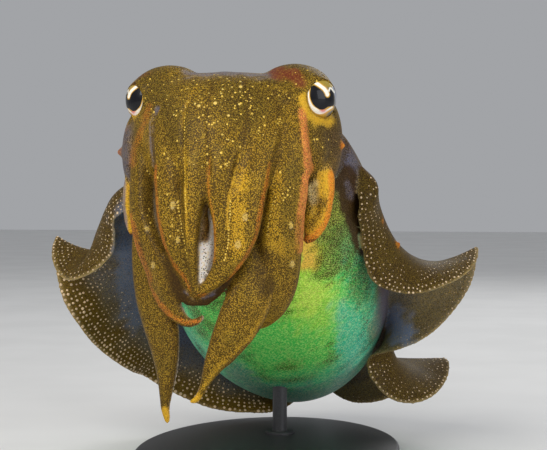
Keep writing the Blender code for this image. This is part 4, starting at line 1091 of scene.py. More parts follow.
def cheek_pads():
    """The full cheek under each eye, and the jowl between the left one and the arms."""
    pads = ((CHEEK_PLACE[-1.0], CHEEK_SIZE), (CHEEK_PLACE[1.0], CHEEK_SIZE), (JOWL_PLACE, JOWL_SIZE))
    return [oval_source(HEAD_CENTRE + place, size, head_colour) for place, size in pads]


def brow_sources():
    """The swelling over each eye, and the cover of skin about its ball."""
    sources = []
    for side in (-1.0, 1.0):
        mirror = np.array((side, 1.0, 1.0))
        sources.append(oval_source(HEAD_CENTRE + BROW_PLACE * mirror, BROW_SIZE, head_colour))
        cover = eye_frame(side)[0] + EYE_COVER[:3] * mirror
        sources.append(oval_source(cover, EYE_COVER[3] + np.zeros(3), head_colour))
    return sources


def seen(points):
    """Where points lie in the photograph's view: across from its left and down from its top."""
    forward, right, up = view_ways()
    step = points - HEAD_CENTRE
    deep = HEAD_DISTANCE + step @ forward
    return (FRAME_WIDTH / 2 + FOCAL_PIXELS * (step @ right + LENS_ASIDE) / deep,
            FRAME_HEIGHT / 2 - FOCAL_PIXELS * (step @ up + LENS_ABOVE) / deep)


def view_ways():
    """The camera's ways forward, right and up."""
    forward = np.array((-math.sin(VIEW_AZIMUTH) * math.cos(VIEW_ELEVATION),
                        math.cos(VIEW_AZIMUTH) * math.cos(VIEW_ELEVATION), -math.sin(VIEW_ELEVATION)))
    right = np.array((math.cos(VIEW_AZIMUTH), math.sin(VIEW_AZIMUTH), 0.0))
    return forward, right, np.cross(right, forward)


def side_ways(side):
    """The camera's ways with their sideways part turned round for the right side."""
    return [way * np.array((side, 1.0, 1.0)) for way in view_ways()]


def view_rays(across, down):
    """The lens about the head's centre, and the ways from it through places in the view."""
    forward, right, up = view_ways()
    lens = -HEAD_DISTANCE * forward - LENS_ASIDE * right - LENS_ABOVE * up
    return lens, (forward + np.multiply.outer((across - FRAME_WIDTH / 2) / FOCAL_PIXELS, right)
                  + np.multiply.outer((FRAME_HEIGHT / 2 - down) / FOCAL_PIXELS, up))


def near_line(across, down, line):
    """Distance of each place in the view from a line through some places."""
    line = np.array(line, float)
    best = np.full(len(across), 1e9)
    for first, last in zip(line[:-1], line[1:]):
        way = last - first
        aside, below = across - first[0], down - first[1]
        share = np.clip((aside * way[0] + below * way[1]) / (way @ way), 0, 1)
        best = np.minimum(best, np.hypot(aside - share * way[0], below - share * way[1]))
    return best


def stroke_reach(view, labels, wave, parts, half, soft, line):
    """Which points a stroke in the view reaches, and how strongly."""
    across, down, facing = view
    places = np.array(line, float)
    low, high = places.min(axis=0) - half - soft, places.max(axis=0) + half + soft
    chosen = facing & (across > low[0]) & (across < high[0]) & (down > low[1]) & (down < high[1])
    chosen &= np.isin(labels, [label for label in set(labels) if label.startswith(parts)])
    index = np.nonzero(chosen)[0]
    distance = near_line(across[index], down[index], line) + 0.25 * soft * wave[index]
    return index, 1.0 - step_between(half, half + soft, distance)


def press_lines(points, normals, view, labels):
    """Raise and press the skin along the lines of its folds."""
    still = np.zeros(len(points))
    lift = np.zeros(len(points))
    for parts, height, half, soft, line in RELIEF:
        index, amount = stroke_reach(view, labels, still, parts, half, soft, line)
        lift[index] += height * MM * amount
    return points + lift[:, None] * normals


def paint_strokes(points, view, labels, masks):
    """Lay the colour strokes on the skin where it faces the photograph's view."""
    wave = ripple(points, 5 * MM, 61)
    # Painted shade: brown along every pressed-in fold line, for the shadow in the crease.
    folds = [(parts, BROWN * 0.7, 0.5, half, soft, 0.7, line) for parts, height, half, soft, line in RELIEF
             if height < 0.0 and parts != "flap_left"]
    for parts, colour, strength, half, soft, dark, line in (*folds, *STROKES):
        index, amount = stroke_reach(view, labels, wave, parts, half, soft, line)
        amount = strength * amount
        masks[index, :3] = blend(masks[index, :3], np.array(colour), amount)
        masks[index, SHINE] *= 1.0 - amount * (np.max(colour) < 0.1 or colour[0] > colour[1])
        if dark is not None:
            masks[index, DARK] += amount * (dark - masks[index, DARK])
            masks[index, PALE] *= 1.0 - amount
    return masks


def build_skin(settings):
    """One skin over all the flesh, with its masks as colour attributes."""
    head = [head_source(), hood_source()] + brow_sources() + cheek_pads()
    sources = [mantle_source()] + cheek_sources() + bump_sources() + [mouth_source(), funnel_source()]
    sources += [lid_source(side) for side in (-1.0, 1.0)]
    sources += [arm_source(name, spec) for name, spec in LIMBS.items()]
    sources += [fin_source("left", 1.0), fin_source("right", -1.0)]

    parts = []
    for source in head:
        part = make_mesh("head_part", source.points, source.faces)
        carve_sockets(part)
        parts.append(part)
    for source in sources:
        parts.append(make_mesh("part", source.points, source.faces))
    bpy.ops.object.select_all(action="DESELECT")
    for part in parts:
        tidy_normals(part)
        part.select_set(True)
    bpy.context.view_layer.objects.active = parts[0]
    bpy.ops.object.join()
    skin = bpy.context.object
    skin.name = "skin"
    skin.data.name = "skin"
    remesh = skin.modifiers.new("remesh", "REMESH")
    remesh.mode = "VOXEL"
    remesh.voxel_size = settings.fineness
    evaluated(skin)

    mesh = skin.data
    edges = read_rows(mesh.edges, "vertices", 2, np.int64)
    points = relax(read_rows(mesh.vertices, "co"), edges, settings.softness, 0.5)
    points = relax(points, edges, ROOT_ROUNDS, 0.5 * root_softness(points))
    mesh.vertices.foreach_set("co", points.ravel())
    mesh.update()
    masks, labels = nearest_masks(points, head + sources)
    masks = relax(masks, edges, MASK_ROUNDS, 0.5)
    normals = read_rows(mesh.vertex_normals, "vector")
    behind_face = np.isin(labels, HEAD_PARTS) & (points[:, 1] > HEAD_CENTRE[1] + LINES_END)
    view = (*seen(points), (normals @ view_ways()[0] < 0.12) & ~behind_face)
    masks = np.clip(relax(paint_strokes(points, view, labels, masks), edges, 1, 0.5), 0, 1)
    points = relax(press_lines(points, normals, view, labels), edges, 1, 0.5)
    mesh.vertices.foreach_set("co", points.ravel())
    mesh.update()
    write_colours(mesh, "tint", np.concatenate((masks[:, :3], masks[:, CALM:CALM + 1]), axis=1))
    ones = np.ones((len(masks), 1))
    write_colours(mesh, "marks", np.concatenate((masks[:, DARK:SHINE + 1], ones), axis=1))
    mesh.shade_smooth()
    return skin


def root_softness(points):
    """Where the arms leave the head, and the head meets the collar, the skin flows without a crease."""
    _, y, z = from_head(points).T
    forehead = step_between(-22, -6, z) * step_between(4, -6, y)
    collar = bell(y * math.cos(BODY_PITCH) - (z + 17.0) * math.sin(BODY_PITCH), 34.5, 6.0)
    return np.clip(forehead + 0.5 * collar, 0, 1)


def nearest_masks(points, sources):
    """Each point takes the masks of the nearest source point."""
    places = np.concatenate([source.points for source in sources])
    masks = np.concatenate([source.masks for source in sources])
    labels = np.concatenate([np.full(len(source.points), source.label) for source in sources])
    tree = KDTree(len(places))
    for index, place in enumerate(places.tolist()):
        tree.insert(place, index)
    tree.balance()
    nearest = np.array([tree.find(point)[1] for point in points.tolist()])
    return masks[nearest], labels[nearest]


def write_colours(mesh, name, values):
    """Store four values at each point of a mesh."""
    layer = mesh.color_attributes.new(name, "FLOAT_COLOR", "POINT")
    layer.data.foreach_set("color", np.asarray(values, dtype=np.float32).ravel())


def link(tree, source, target):
    """Join an output to an input."""
    tree.links.new(source, target)


def feed(tree, target, value):
    """Give an input a number, a colour or another node's output."""
    if isinstance(value, (int, float)):
        target.default_value = value
    elif isinstance(value, tuple):
        target.default_value = (*value, 1.0)
    else:
        link(tree, value, target)


def noise(tree, place, scale, detail=2.0):
    """Cloudy noise over the surface, from 0 to 1."""
    node = tree.nodes.new("ShaderNodeTexNoise")
    node.inputs["Scale"].default_value = scale
    node.inputs["Detail"].default_value = detail
    link(tree, place, node.inputs["Vector"])
    return node.outputs["Fac"]


def add_bump(tree, shader, height, strength, distance):
    """Raise the surface a little by a height."""
    bump = tree.nodes.new("ShaderNodeBump")
    bump.inputs["Strength"].default_value = strength
    bump.inputs["Distance"].default_value = distance
    link(tree, height, bump.inputs["Height"])
    link(tree, bump.outputs["Normal"], shader.inputs["Normal"])


def maths(tree, operation, first, second=None, third=None, clamp=False):
    """A math node with values or sockets as its inputs, giving its output."""
    node = tree.nodes.new("ShaderNodeMath")
    node.operation = operation
    node.use_clamp = clamp
    for place, value in enumerate((first, second, third)):
        if value is not None:
            feed(tree, node.inputs[place], value)
    return node.outputs[0]


def times(tree, first, second, clamp=False):
    """The product of two values or sockets."""
    return maths(tree, "MULTIPLY", first, second, clamp=clamp)


def mix(tree, amount, first, second, kind="MIX"):
    """A colour mix with values or sockets as its inputs, giving its output."""
    node = tree.nodes.new("ShaderNodeMix")
    node.data_type = "RGBA"
    node.blend_type = kind
    for place, value in ((0, amount), (6, first), (7, second)):
        feed(tree, node.inputs[place], value)
    return node.outputs[2]


def ramp(tree, value, low, high):
    """0 below low and 1 above high, smoothly."""
    node = tree.nodes.new("ShaderNodeMapRange")
    node.interpolation_type = "SMOOTHSTEP"
    for place, entry in ((0, value), (1, low), (2, high), (3, 0.0), (4, 1.0)):
        feed(tree, node.inputs[place], entry)
    return node.outputs[0]


def new_group(name, inputs, outputs):
    """A shader node group with float inputs and named outputs, and its two end nodes."""
    tree = bpy.data.node_groups.new(name, "ShaderNodeTree")
    for label, kind, default in inputs:
        socket = tree.interface.new_socket(label, in_out="INPUT", socket_type=kind)
        if default is not None:
            socket.default_value = default
    for label, kind in outputs:
        tree.interface.new_socket(label, in_out="OUTPUT", socket_type=kind)
    return tree, tree.nodes.new("NodeGroupInput"), tree.nodes.new("NodeGroupOutput")


def colour_dots_group():
    """Round colour cells of the skin: a mask of dots whose size follows an amount."""
    tree, given, made = new_group(
        "colour dots",
        (("Position", "NodeSocketVector", None), ("Scale", "NodeSocketFloat", 1300.0),
         ("Amount", "NodeSocketFloat", 0.5), ("Edge", "NodeSocketFloat", 0.12),
         ("Largest", "NodeSocketFloat", 0.62)),
        (("Mask", "NodeSocketFloat"), ("Tone", "NodeSocketFloat")))
    cells = tree.nodes.new("ShaderNodeTexVoronoi")
    cells.feature = "F1"
    cells.inputs["Randomness"].default_value = 0.85
    link(tree, given.outputs["Position"], cells.inputs["Vector"])
    link(tree, given.outputs["Scale"], cells.inputs["Scale"])
    split = tree.nodes.new("ShaderNodeSeparateColor")
    link(tree, cells.outputs["Color"], split.inputs["Color"])
    vary = maths(tree, "MULTIPLY_ADD", split.outputs[0], 0.25, 0.82)
    size = times(tree, given.outputs["Amount"], vary)
    size = times(tree, size, given.outputs["Largest"])
    low = maths(tree, "SUBTRACT", size, given.outputs["Edge"])
    mask = maths(tree, "SUBTRACT", 1.0, ramp(tree, cells.outputs["Distance"], low, size))
    link(tree, mask, made.inputs["Mask"])
    link(tree, split.outputs[1], made.inputs["Tone"])
    return tree


def place_group(tree, group, **values):
    """Put a node group in a material with its own values."""
    node = tree.nodes.new("ShaderNodeGroup")
    node.node_tree = group
    for label, value in values.items():
        feed(tree, node.inputs[label], value)
    return node


def new_material(name):
    """A material with its tree, its Principled shader and its object coordinates."""
    finish = bpy.data.materials.new(name)
    finish.use_nodes = True
    tree = finish.node_tree
    place = tree.nodes.new("ShaderNodeTexCoord").outputs["Object"]
    return finish, tree, tree.nodes["Principled BSDF"], place


def attribute(tree, name):
    """A colour attribute of the mesh: its colour and the three values in it."""
    node = tree.nodes.new("ShaderNodeAttribute")
    node.attribute_name = name
    split = tree.nodes.new("ShaderNodeSeparateColor")
    link(tree, node.outputs["Color"], split.inputs["Color"])
    return node.outputs["Color"], (*(split.outputs[place] for place in range(3)), node.outputs["Alpha"])


def skin_material(settings, dots):
    """Wet skin: base tint, dark and gold colour dots, pale spots, and the belly's shining grain."""
    finish, tree, shader, place = new_material("cuttlefish skin")
    tint, coarse = attribute(tree, "tint")
    _, marks = attribute(tree, "marks")
    dark, pale, shine = marks[0], marks[1], marks[2]
    scale = 1.0 / settings.dot_spacing

    cloud = noise(tree, place, 170.0, 4.0)
    grain = noise(tree, place, 1500.0)

    warm = times(tree, times(tree, coarse[0], 3.2, clamp=True),
                 maths(tree, "SUBTRACT", 1.0, shine, clamp=True))
    fine = times(tree, ramp(tree, grain, 0.35, 0.75), 0.25)
    lighter = mix(tree, fine, tint, GRAIN_GOLD)
    base = mix(tree, warm, tint, lighter)

    glitter = tree.nodes.new("ShaderNodeTexVoronoi")
    glitter.inputs["Scale"].default_value = 1.15 * scale
    link(tree, place, glitter.inputs["Vector"])
    flake = tree.nodes.new("ShaderNodeSeparateColor")
    link(tree, glitter.outputs["Color"], flake.inputs["Color"])
    bright = mix(tree, ramp(tree, flake.outputs[0], 0.25, 0.95), SHINE_DEEP, SHINE_BRIGHT)
    shining = mix(tree, 0.42, base, bright)
    base = mix(tree, times(tree, shine, 0.85), base, shining)

    gold = place_group(tree, dots, Position=place, Scale=0.75 * scale, Amount=0.75, Edge=0.25, Largest=0.6)
    base = mix(tree, times(tree, times(tree, gold.outputs["Mask"], 0.5), warm), base, DOT_GOLD)
    patch = ramp(tree, cloud, 0.30, 0.62)
    uneven = maths(tree, "MULTIPLY_ADD", patch, 0.18, 0.80)
    amount = times(tree, dark, uneven)
    small = place_group(tree, dots, Position=place, Scale=1.3 * scale,
                        Amount=maths(tree, "MULTIPLY_ADD", amount, -0.50, 1.0), Edge=0.25, Largest=0.92)
    between = times(tree, maths(tree, "SUBTRACT", 1.0, small.outputs["Mask"]),
                    times(tree, amount, 1.7, clamp=True))
    base = mix(tree, times(tree, between, 0.88), base, DOT_DARK)
    club = place_group(tree, dots, Position=place, Scale=0.72 * scale, Amount=coarse[3],
                       Edge=0.08, Largest=0.34)
    base = mix(tree, times(tree, club.outputs["Mask"], 0.92), base, CLUB_DOT)
    white = place_group(tree, dots, Position=place, Scale=0.21 * scale, Amount=pale, Edge=0.10, Largest=0.30)
    chosen = times(tree, white.outputs["Mask"], ramp(tree, white.outputs["Tone"], 0.35, 0.6))
    base = mix(tree, times(tree, chosen, 0.75), base, DOT_PALE)
    link(tree, base, shader.inputs["Base Color"])

    rough = maths(tree, "MULTIPLY_ADD", grain, 0.25, 0.40)
    shader.inputs["Specular IOR Level"].default_value = 0.09
    link(tree, rough, shader.inputs["Roughness"])
    shader.inputs["Coat Weight"].default_value = settings.wetness
    shader.inputs["Coat Roughness"].default_value = 0.22
    shader.inputs["Subsurface Weight"].default_value = 0.12
    shader.inputs["Subsurface Radius"].default_value = (0.004, 0.0018, 0.0007)
    shader.inputs["Subsurface Scale"].default_value = 1.0

    height = maths(tree, "ADD", times(tree, grain, 0.5), times(tree, between, -0.35))
    height = maths(tree, "ADD", height, times(tree, chosen, 0.9))
    add_bump(tree, shader, height, 0.55, 0.25 * MM)
    return finish


def inside(across, up, outline):
    """Whether places lie inside a closed outline."""
    within = np.zeros(across.shape, bool)
    for first, last in zip(outline, outline[1:] + outline[:1]):
        rises = (first[1] > up) != (last[1] > up)
        slope = (last[0] - first[0]) / (last[1] - first[1]) if last[1] != first[1] else 0.0
        within ^= rises & (across < first[0] + slope * (up - first[1]))
    return within


def smooth_line(points, closed=False, steps=10):
    """A rounded line through some places."""
    places = np.array(points + points[:1] if closed else points, float)
    knots = np.arange(len(places))
    fine = through(knots, places, np.linspace(0, len(places) - 1, steps * (len(places) - 1) + 1))
    return [tuple(place) for place in fine.tolist()]


def eye_masks(across, up, iris, black):
    """Colours over an eye, for places as shares of its opening in the photograph's view."""
    across, up = across.ravel(), up.ravel()
    colour = np.zeros((len(across), 3)) + EYE_RIM
    opening = np.hypot(across, up)
    colour = blend(colour, EYE_LID, step_between(0.02, 0.16, up - 0.35 * (1.0 - np.abs(across)) - 0.28))
    low = step_between(-0.55, -0.75, up) * step_between(0.5, 0.1, across)
    colour = blend(colour, GOLD * 1.1, 0.8 * low)
    rim = near_line(across, up, smooth_line([(0.80, 0.62), (1.00, 0.1), (0.98, -0.4), (0.80, -0.85)]))
    colour = blend(colour, EYE_BLUE, step_between(0.17, 0.09, rim))
    white = near_line(across, up, smooth_line([(-0.92, 0.86), (-0.98, 0.40), (-0.95, -0.12), (-0.76, -0.52),
                                               (-0.38, -0.75), (0.02, -0.80), (0.34, -0.66), (0.66, -0.48)]))
    wide = 0.045 + 0.085 * bell(across, -0.45, 0.42) * step_between(0, -0.3, up)
    colour = blend(colour, EYE_GOLD, step_between(0.13, 0.05, white - wide))
    colour = blend(colour, iris, step_between(0.02, -0.02, white - wide))
    pink = bell(across, 0.02, 0.22) * bell(up, -0.72, 0.10)
    colour = blend(colour, EYE_PINK, 0.8 * pink)
    pupil = inside(across, up, smooth_line([
        (-0.80, 0.62), (-0.42, 0.70), (0.08, 0.34), (0.30, 0.10), (0.46, 0.26), (0.55, 0.55), (0.74, 0.40),
        (0.78, -0.30), (0.60, -0.44), (0.33, -0.50), (0.06, -0.64), (-0.30, -0.62), (-0.70, -0.34),
        (-0.88, 0.12)], closed=True))
    colour[pupil] = black
    bar = near_line(across, up, smooth_line([(-0.90, 0.98), (-0.46, 0.82), (0.0, 0.56), (0.20, 0.38),
                                             (0.31, 0.20)]))
    wide = 0.10 + 0.03 * step_between(0, 0.3, across)
    colour = blend(colour, EYE_GOLD, step_between(0.10, 0.02, bar - wide))
    colour = blend(colour, iris, step_between(0.02, -0.02, bar - wide))
    thin = near_line(across, up, smooth_line([(0.42, 0.40), (0.52, 0.58), (0.66, 0.50), (0.80, 0.36)]))
    colour = blend(colour, iris, step_between(0.07, 0.03, thin))
    colour = blend(colour, EYE_RIM * 0.6, step_between(1.12, 1.3, opening))
    return colour


def build_eye(name, side, settings):
    """A round eye: fine front with its pattern as a colour attribute, plain behind."""
    centre, look, across_way, up = eye_frame(side)
    sides = 220
    polar = np.concatenate((np.linspace(0, 1, 120) ** 0.9 * 0.95, np.linspace(0.96, 2.6, 30)))[1:]
    turn = full_turn(sides)
    rings = centre + EYE_RADIUS * (np.cos(polar)[:, None, None] * look + np.sin(polar)[:, None, None] * (
        np.cos(turn)[None, :, None] * across_way + np.sin(turn)[None, :, None] * up))
    poles = (centre + EYE_RADIUS * look, centre - EYE_RADIUS * look)
    points = np.concatenate((rings.reshape(-1, 3), poles))
    eye = make_mesh(name, points, tube_faces(len(polar), sides))
    offset = points - centre
    _, right, above = view_ways()
    mirrored = offset * np.array((side, 1.0, 1.0))
    colours = eye_masks((mirrored @ right - EYE_SHIFT[0]) / EYE_OPENING[0],
                        (mirrored @ above - EYE_SHIFT[1]) / EYE_OPENING[1],
                        np.array(settings.iris_colour), np.array(settings.pupil_colour))
    colours[(offset @ look) < 0.0] = EYE_RIM
    write_colours(eye.data, "iris", np.concatenate((colours, np.ones((len(colours), 1))), axis=1))
    tidy_normals(eye)
    return eye


def eye_material():
    """Wet eye: the pattern under a clear glossy film, with fine threads in the iris."""
    finish, tree, shader, place = new_material("eye surface")
    colour, _ = attribute(tree, "iris")
    value = maths(tree, "MULTIPLY_ADD", noise(tree, place, 2600.0, 3.0), 0.5, 0.72)
    link(tree, mix(tree, 1.0, colour, value, "MULTIPLY"), shader.inputs["Base Color"])
    shader.inputs["Roughness"].default_value = 0.4
    shader.inputs["Specular IOR Level"].default_value = 0.15
    shader.inputs["Coat Weight"].default_value = 0.3
    shader.inputs["Coat Roughness"].default_value = 0.04
    return finish


def small_shape(spot, away, radius, profile, ends, sides):
    """Rings of a small round shape that stands on a spot, and the two points that close it."""
    side = units(np.cross(away, np.array((0.31, 0.17, 0.93))))
    other = np.cross(away, side)
    turn = full_turn(sides)
    ring = np.cos(turn)[:, None] * side + np.sin(turn)[:, None] * other
    rings = np.array([spot + radius * (level * away + reach * ring) for reach, level in profile])
    return rings, spot + ends[0] * radius * away, spot + ends[1] * radius * away


def cup_shape(spot, away, radius):
    """One sucker: a short stalk, a round rim and the hollow inside it."""
    return small_shape(spot, away, radius, CUP_PROFILE, CUP_ENDS, 12)


def dome_shape(spot, away, radius):
    """One low dome."""
    return small_shape(spot, away, radius, DOME_PROFILE, DOME_ENDS, 10)


def gathered(name, shapes):
    """One mesh of many small closed shapes, smooth and with its faces turned out."""
    points, faces = [], []
    count = 0
    for rings, first, last in shapes:
        points.append(np.concatenate((rings.reshape(-1, 3), [first, last])))
        faces += [tuple(index + count for index in face) for face in tube_faces(*rings.shape[:2])]
        count += len(points[-1])
    thing = make_mesh(name, np.concatenate(points), faces)
    tidy_normals(thing)
    return thing


def cup_rows(spec, start):
    """Places of the suckers of an arm in four rows that become two and then one."""
    _, stations, total = arm_shape(spec)
    chance = random.Random(len(stations))
    share = start
    step = 0
    cups = []
    while share < 0.985:
        wide = arm_frames(spec, np.array((share,)))[3][0]
        radius = min(CUP_LARGEST, max(CUP_SMALLEST, 0.18 * wide)) * chance.uniform(0.93, 1.07)
        rows = (-0.48, -0.16, 0.16, 0.48) if wide > 2.4 * MM else (-0.3, 0.3) if wide > 1.0 * MM else (0.0,)
        for place, row in enumerate(rows):
            along = share + (0.5 * radius / total if place % 2 == step % 2 else 0.0)
            here = [value[0] for value in arm_frames(spec, np.array((min(along, 0.99),)))]
            shift = row * here[3]
            level = here[4] * ORAL_FLATNESS * math.sqrt(1.0 - row * row)
            spot = here[0] + shift * here[2] - level * here[1]
            cups.append((spot, units(-here[1] + 0.45 * row * here[2]), radius * (1.0 - 0.15 * abs(row))))
        share += CUP_PITCH * radius / total
        step += 1
    return cups


def clear_of_others(name, spot, away, radius):
    """Whether a sucker stays out of the other arms."""
    point = spot + 0.8 * radius * away
    for other, (centre, outward, sideways, wide, deep, along) in FRAMES.items():
        if other == name:
            continue
        step = point - centre
        near = np.abs(np.einsum("ij,ij->i", step, along)) < FRAME_STEP[other] + radius
        across = np.einsum("ij,ij->i", step, sideways) / (wide + radius)
        out = np.einsum("ij,ij->i", step, outward)
        out = out / (np.where(out > 0, deep, deep * ORAL_FLATNESS) + radius)
        if np.any(near & (across ** 2 + out ** 2 < 1.0)):
            return False
    return True


# Frames at even places along every arm, and half the distance from one to the next.
FRAME_COUNT = 40
FRAMES = {name: arm_frames(spec, np.linspace(0, 1, FRAME_COUNT)) for name, spec in LIMBS.items()}
FRAME_STEP = {name: 0.5 * arm_shape(spec)[2] / (FRAME_COUNT - 1) for name, spec in LIMBS.items()}


def build_cups(name, arms):
    """All the suckers of some arms as one mesh of small closed cups."""
    shapes = []
    for arm in arms:
        spec = LIMBS[arm]
        for cup in cup_rows(spec, 0.55 if arm.startswith("tentacle") else 0.13):
            if clear_of_others(arm, *cup):
                shapes.append(cup_shape(*cup))
    return gathered(name, shapes)


def mottled_material(name, colour, darkest, patches, low, high):
    """Wet flesh in two tones of one colour, and its shader."""
    finish, tree, shader, place = new_material(name)
    cloud = noise(tree, place, patches)
    base = mix(tree, ramp(tree, cloud, low, high), tuple(darkest * part for part in colour), tuple(colour))
    link(tree, base, shader.inputs["Base Color"])
    return finish, shader


def cup_material(colour):
    """Pale wet flesh with a little mottling."""
    finish, shader = mottled_material("sucker flesh", colour, 0.72, 900.0, 0.3, 0.7)
    shader.inputs["Roughness"].default_value = 0.32
    shader.inputs["Coat Weight"].default_value = 0.3
    return finish


def build_spots(name, side):
    """Rows of pale raised spots along a fin, larger near the rim, on both faces."""
    stations = fin_stations(name)
    chance = random.Random(SPOT_SEED[side])
    shapes = []
    for face, (sizes, pitch) in ((1.0, SPOT_BACK), (-1.0, SPOT_UNDER[side])):
        for row in range(SPOT_ROWS):
            drop = row * SPOT_GAP
            behind = FIN_START + (3.0 + 0.5 * pitch * (row % 2)) * MM
            while behind < FIN_END - 3 * MM:
                width = through(stations[:, 0], stations[:, 1], behind)[0]
                share = 1.0 - (1.3 * MM + drop + chance.uniform(-0.35, 0.35) * MM) / width
                speed = through_speed(side, stations, behind, max(share, 0.3))
                step = pitch * MM * chance.uniform(0.8, 1.2) / max(1.0, speed)
                if share > (0.28 if face > 0 else 0.45) and chance.random() < 0.92:
                    place = behind + chance.uniform(-0.25, 0.25) * MM / max(1.0, speed)
                    here, across = fin_frame(side, stations, np.array((place,)), np.array((share,)))
                    fade = min(1.0, drop / (17 * MM))
                    radius = (sizes[0] + (sizes[1] - sizes[0]) * fade) * MM * chance.uniform(0.7, 1.2)
                    spot = here[0] + face * across[0] * (fin_thickness(share) / 2 - 0.10 * MM)
                    shapes.append(dome_shape(spot, face * across[0], radius))
                behind += step
    return gathered("fin_spots_" + name, shapes)


def build_beads(skin):
    """Golden beads and pale specks of the skin, each laid on it where the photograph shows one."""
    from mathutils.bvhtree import BVHTree
    tree = BVHTree.FromObject(skin, bpy.context.evaluated_depsgraph_get())
    chance = random.Random(BEAD_SEED)
    places = []
    for (x0, y0), (wide, tall), count, size in SPECK_FIELDS:
        for _ in range(count):
            turn, reach = chance.uniform(0, 2 * math.pi), math.sqrt(chance.random())
            places.append((x0 + wide * reach * math.cos(turn), y0 + tall * reach * math.sin(turn),
                           size * chance.uniform(0.6, 1.35)))
    for x0, y0 in STARS:
        for ray in range(6):
            turn = ray * math.pi / 3 + chance.uniform(-0.3, 0.3)
            for reach in (0.0, 1.5, 2.9):
                places.append((x0 + reach * math.cos(turn), y0 + reach * math.sin(turn),
                               0.34 - 0.05 * reach))
    for pitch, size, line in BEAD_ROWS:
        for (x0, y0), (x1, y1) in zip(line[:-1], line[1:]):
            total = max(1, round(math.hypot(x1 - x0, y1 - y0) / pitch))
            for step in range(total):
                share = (step + 0.5) / total
                x2 = x0 + share * (x1 - x0) + chance.uniform(-0.5, 0.5)
                y2 = y0 + share * (y1 - y0) + chance.uniform(-0.5, 0.5)
                places.append((x2, y2, size * chance.uniform(0.7, 1.2)))
    shapes = []
    places = np.array(places)
    lens, ways = view_rays(places[:, 0], places[:, 1])
    for way, size in zip(ways, places[:, 2].tolist()):
        spot, normal, _, _ = tree.ray_cast(Vector(HEAD_CENTRE + lens), Vector(way).normalized())
        if spot is None or spot.y > HEAD_CENTRE[1] + BEADS_END:
            continue
        away = units(np.array(normal))
        shapes.append(dome_shape(np.array(spot) - 0.06 * MM * away, away, size * MM))
    return gathered("skin_beads", shapes)


def through_speed(side, stations, behind, share):
    """How far a point of a fin moves for each step behind the collar."""
    tiny = 0.5 * MM
    places = np.array((behind - tiny, behind + tiny))
    pair = fin_surface(side, stations, places, np.array((share, share)))
    return float(np.linalg.norm(pair[1] - pair[0]) / (2 * tiny))


def spot_material(name, colour):
    """Finish of small raised spots, a little uneven from one to the next."""
    finish, shader = mottled_material(name, colour, 0.7, 240.0, 0.35, 0.65)
    shader.inputs["Roughness"].default_value = 0.35
    return finish


def turned_shape(name, profile, middle, stretch, sides):
    """A round or oval shape turned from a profile of radius and height, closed on its axis."""
    turn = full_turn(sides)
    rings = []
    for radius, height in profile:
        x = middle[0] + radius * np.cos(turn)
        y = middle[1] + (radius + stretch) * np.sin(turn)
        rings.append(np.stack((x, y, np.full(sides, height)), axis=-1))
    first = np.array((middle[0], middle[1], profile[0][1]))
    last = np.array((middle[0], middle[1], profile[-1][1]))
    points = np.concatenate((*rings, [first, last]))
    thing = make_mesh(name, points, tube_faces(len(profile), sides))
    tidy_normals(thing)
    thing.data.set_sharp_from_angle(angle=math.radians(35.0))
    return thing


def node_box(name):
    """The low and high corners of a node of the part, and its middle."""
    low, high = (np.array(corner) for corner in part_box(name))
    return low, high, (low + high) / 2


def quarter_round(inner, low, radius, up, steps=6):
    """Points of a rounded corner from a flat face to an upright edge."""
    points = []
    for step in range(steps + 1):
        turn = 0.5 * math.pi * step / steps
        points.append((inner + radius * math.sin(turn), low + up * radius * (1.0 - math.cos(turn))))
    return points


def stand_material(colour):
    """Satin powder paint with a fine grain and paler worn spots."""
    finish, tree, shader, place = new_material("stand paint")
    grain = noise(tree, place, 2200.0)
    worn = tuple(1.9 * part for part in colour)
    base = mix(tree, ramp(tree, grain, 0.3, 0.8), tuple(colour), worn)
    link(tree, base, shader.inputs["Base Color"])
    link(tree, maths(tree, "MULTIPLY_ADD", grain, 0.2, 0.35), shader.inputs["Roughness"])
    add_bump(tree, shader, grain, 0.2, 0.05 * MM)
    return finish


class CUTTLEFISH_OT_skin(bpy.types.Operator):
    """Build the one skin over the head, mantle, arms, fins and funnel"""
    bl_idname = "cuttlefish.skin"
    bl_label = "Skin"

    def execute(self, context):
        settings = context.scene.cuttlefish_skin
        skin = build_skin(settings)
        skin.data.materials.clear()
        skin.data.materials.append(skin_material(settings, colour_dots_group()))
        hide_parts(*FLESH_NODES)
        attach(skin, "root")
        return {"FINISHED"}


class CUTTLEFISH_OT_eyes(bpy.types.Operator):
    """Build both eyes"""
    bl_idname = "cuttlefish.eyes"
    bl_label = "Eyes"

    def execute(self, context):
        finish = eye_material()
        for name, side in (("left", 1.0), ("right", -1.0)):
            eye = build_eye("eyeball_" + name, side, context.scene.cuttlefish_eyes)
            eye.data.materials.append(finish)
            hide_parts("eye_" + name)
            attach(eye, "root")
        return {"FINISHED"}


class CUTTLEFISH_OT_suckers(bpy.types.Operator):
    """Build the suckers of the arms and of the tentacle clubs"""
    bl_idname = "cuttlefish.suckers"
    bl_label = "Suckers"

    def execute(self, context):
        finish = cup_material(context.scene.cuttlefish_cups.cup_colour)
        for side in ("left", "right"):
            arms = [name for name in LIMBS if name.endswith(side)]
            cups = build_cups("suckers_" + side, arms)
            cups.data.materials.append(finish)
            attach(cups, "root")
        return {"FINISHED"}


class CUTTLEFISH_OT_beads(bpy.types.Operator):
    """Build the golden beads on the head and the arms"""
    bl_idname = "cuttlefish.beads"
    bl_label = "Skin beads"

    def execute(self, context):
        skin = bpy.data.objects.get("skin")
        if skin is None:
            raise RuntimeError("Build the skin first")
        beads = build_beads(skin)
        beads.data.materials.append(spot_material("skin bead", context.scene.cuttlefish_cups.bead_colour))
        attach(beads, "root")
        return {"FINISHED"}


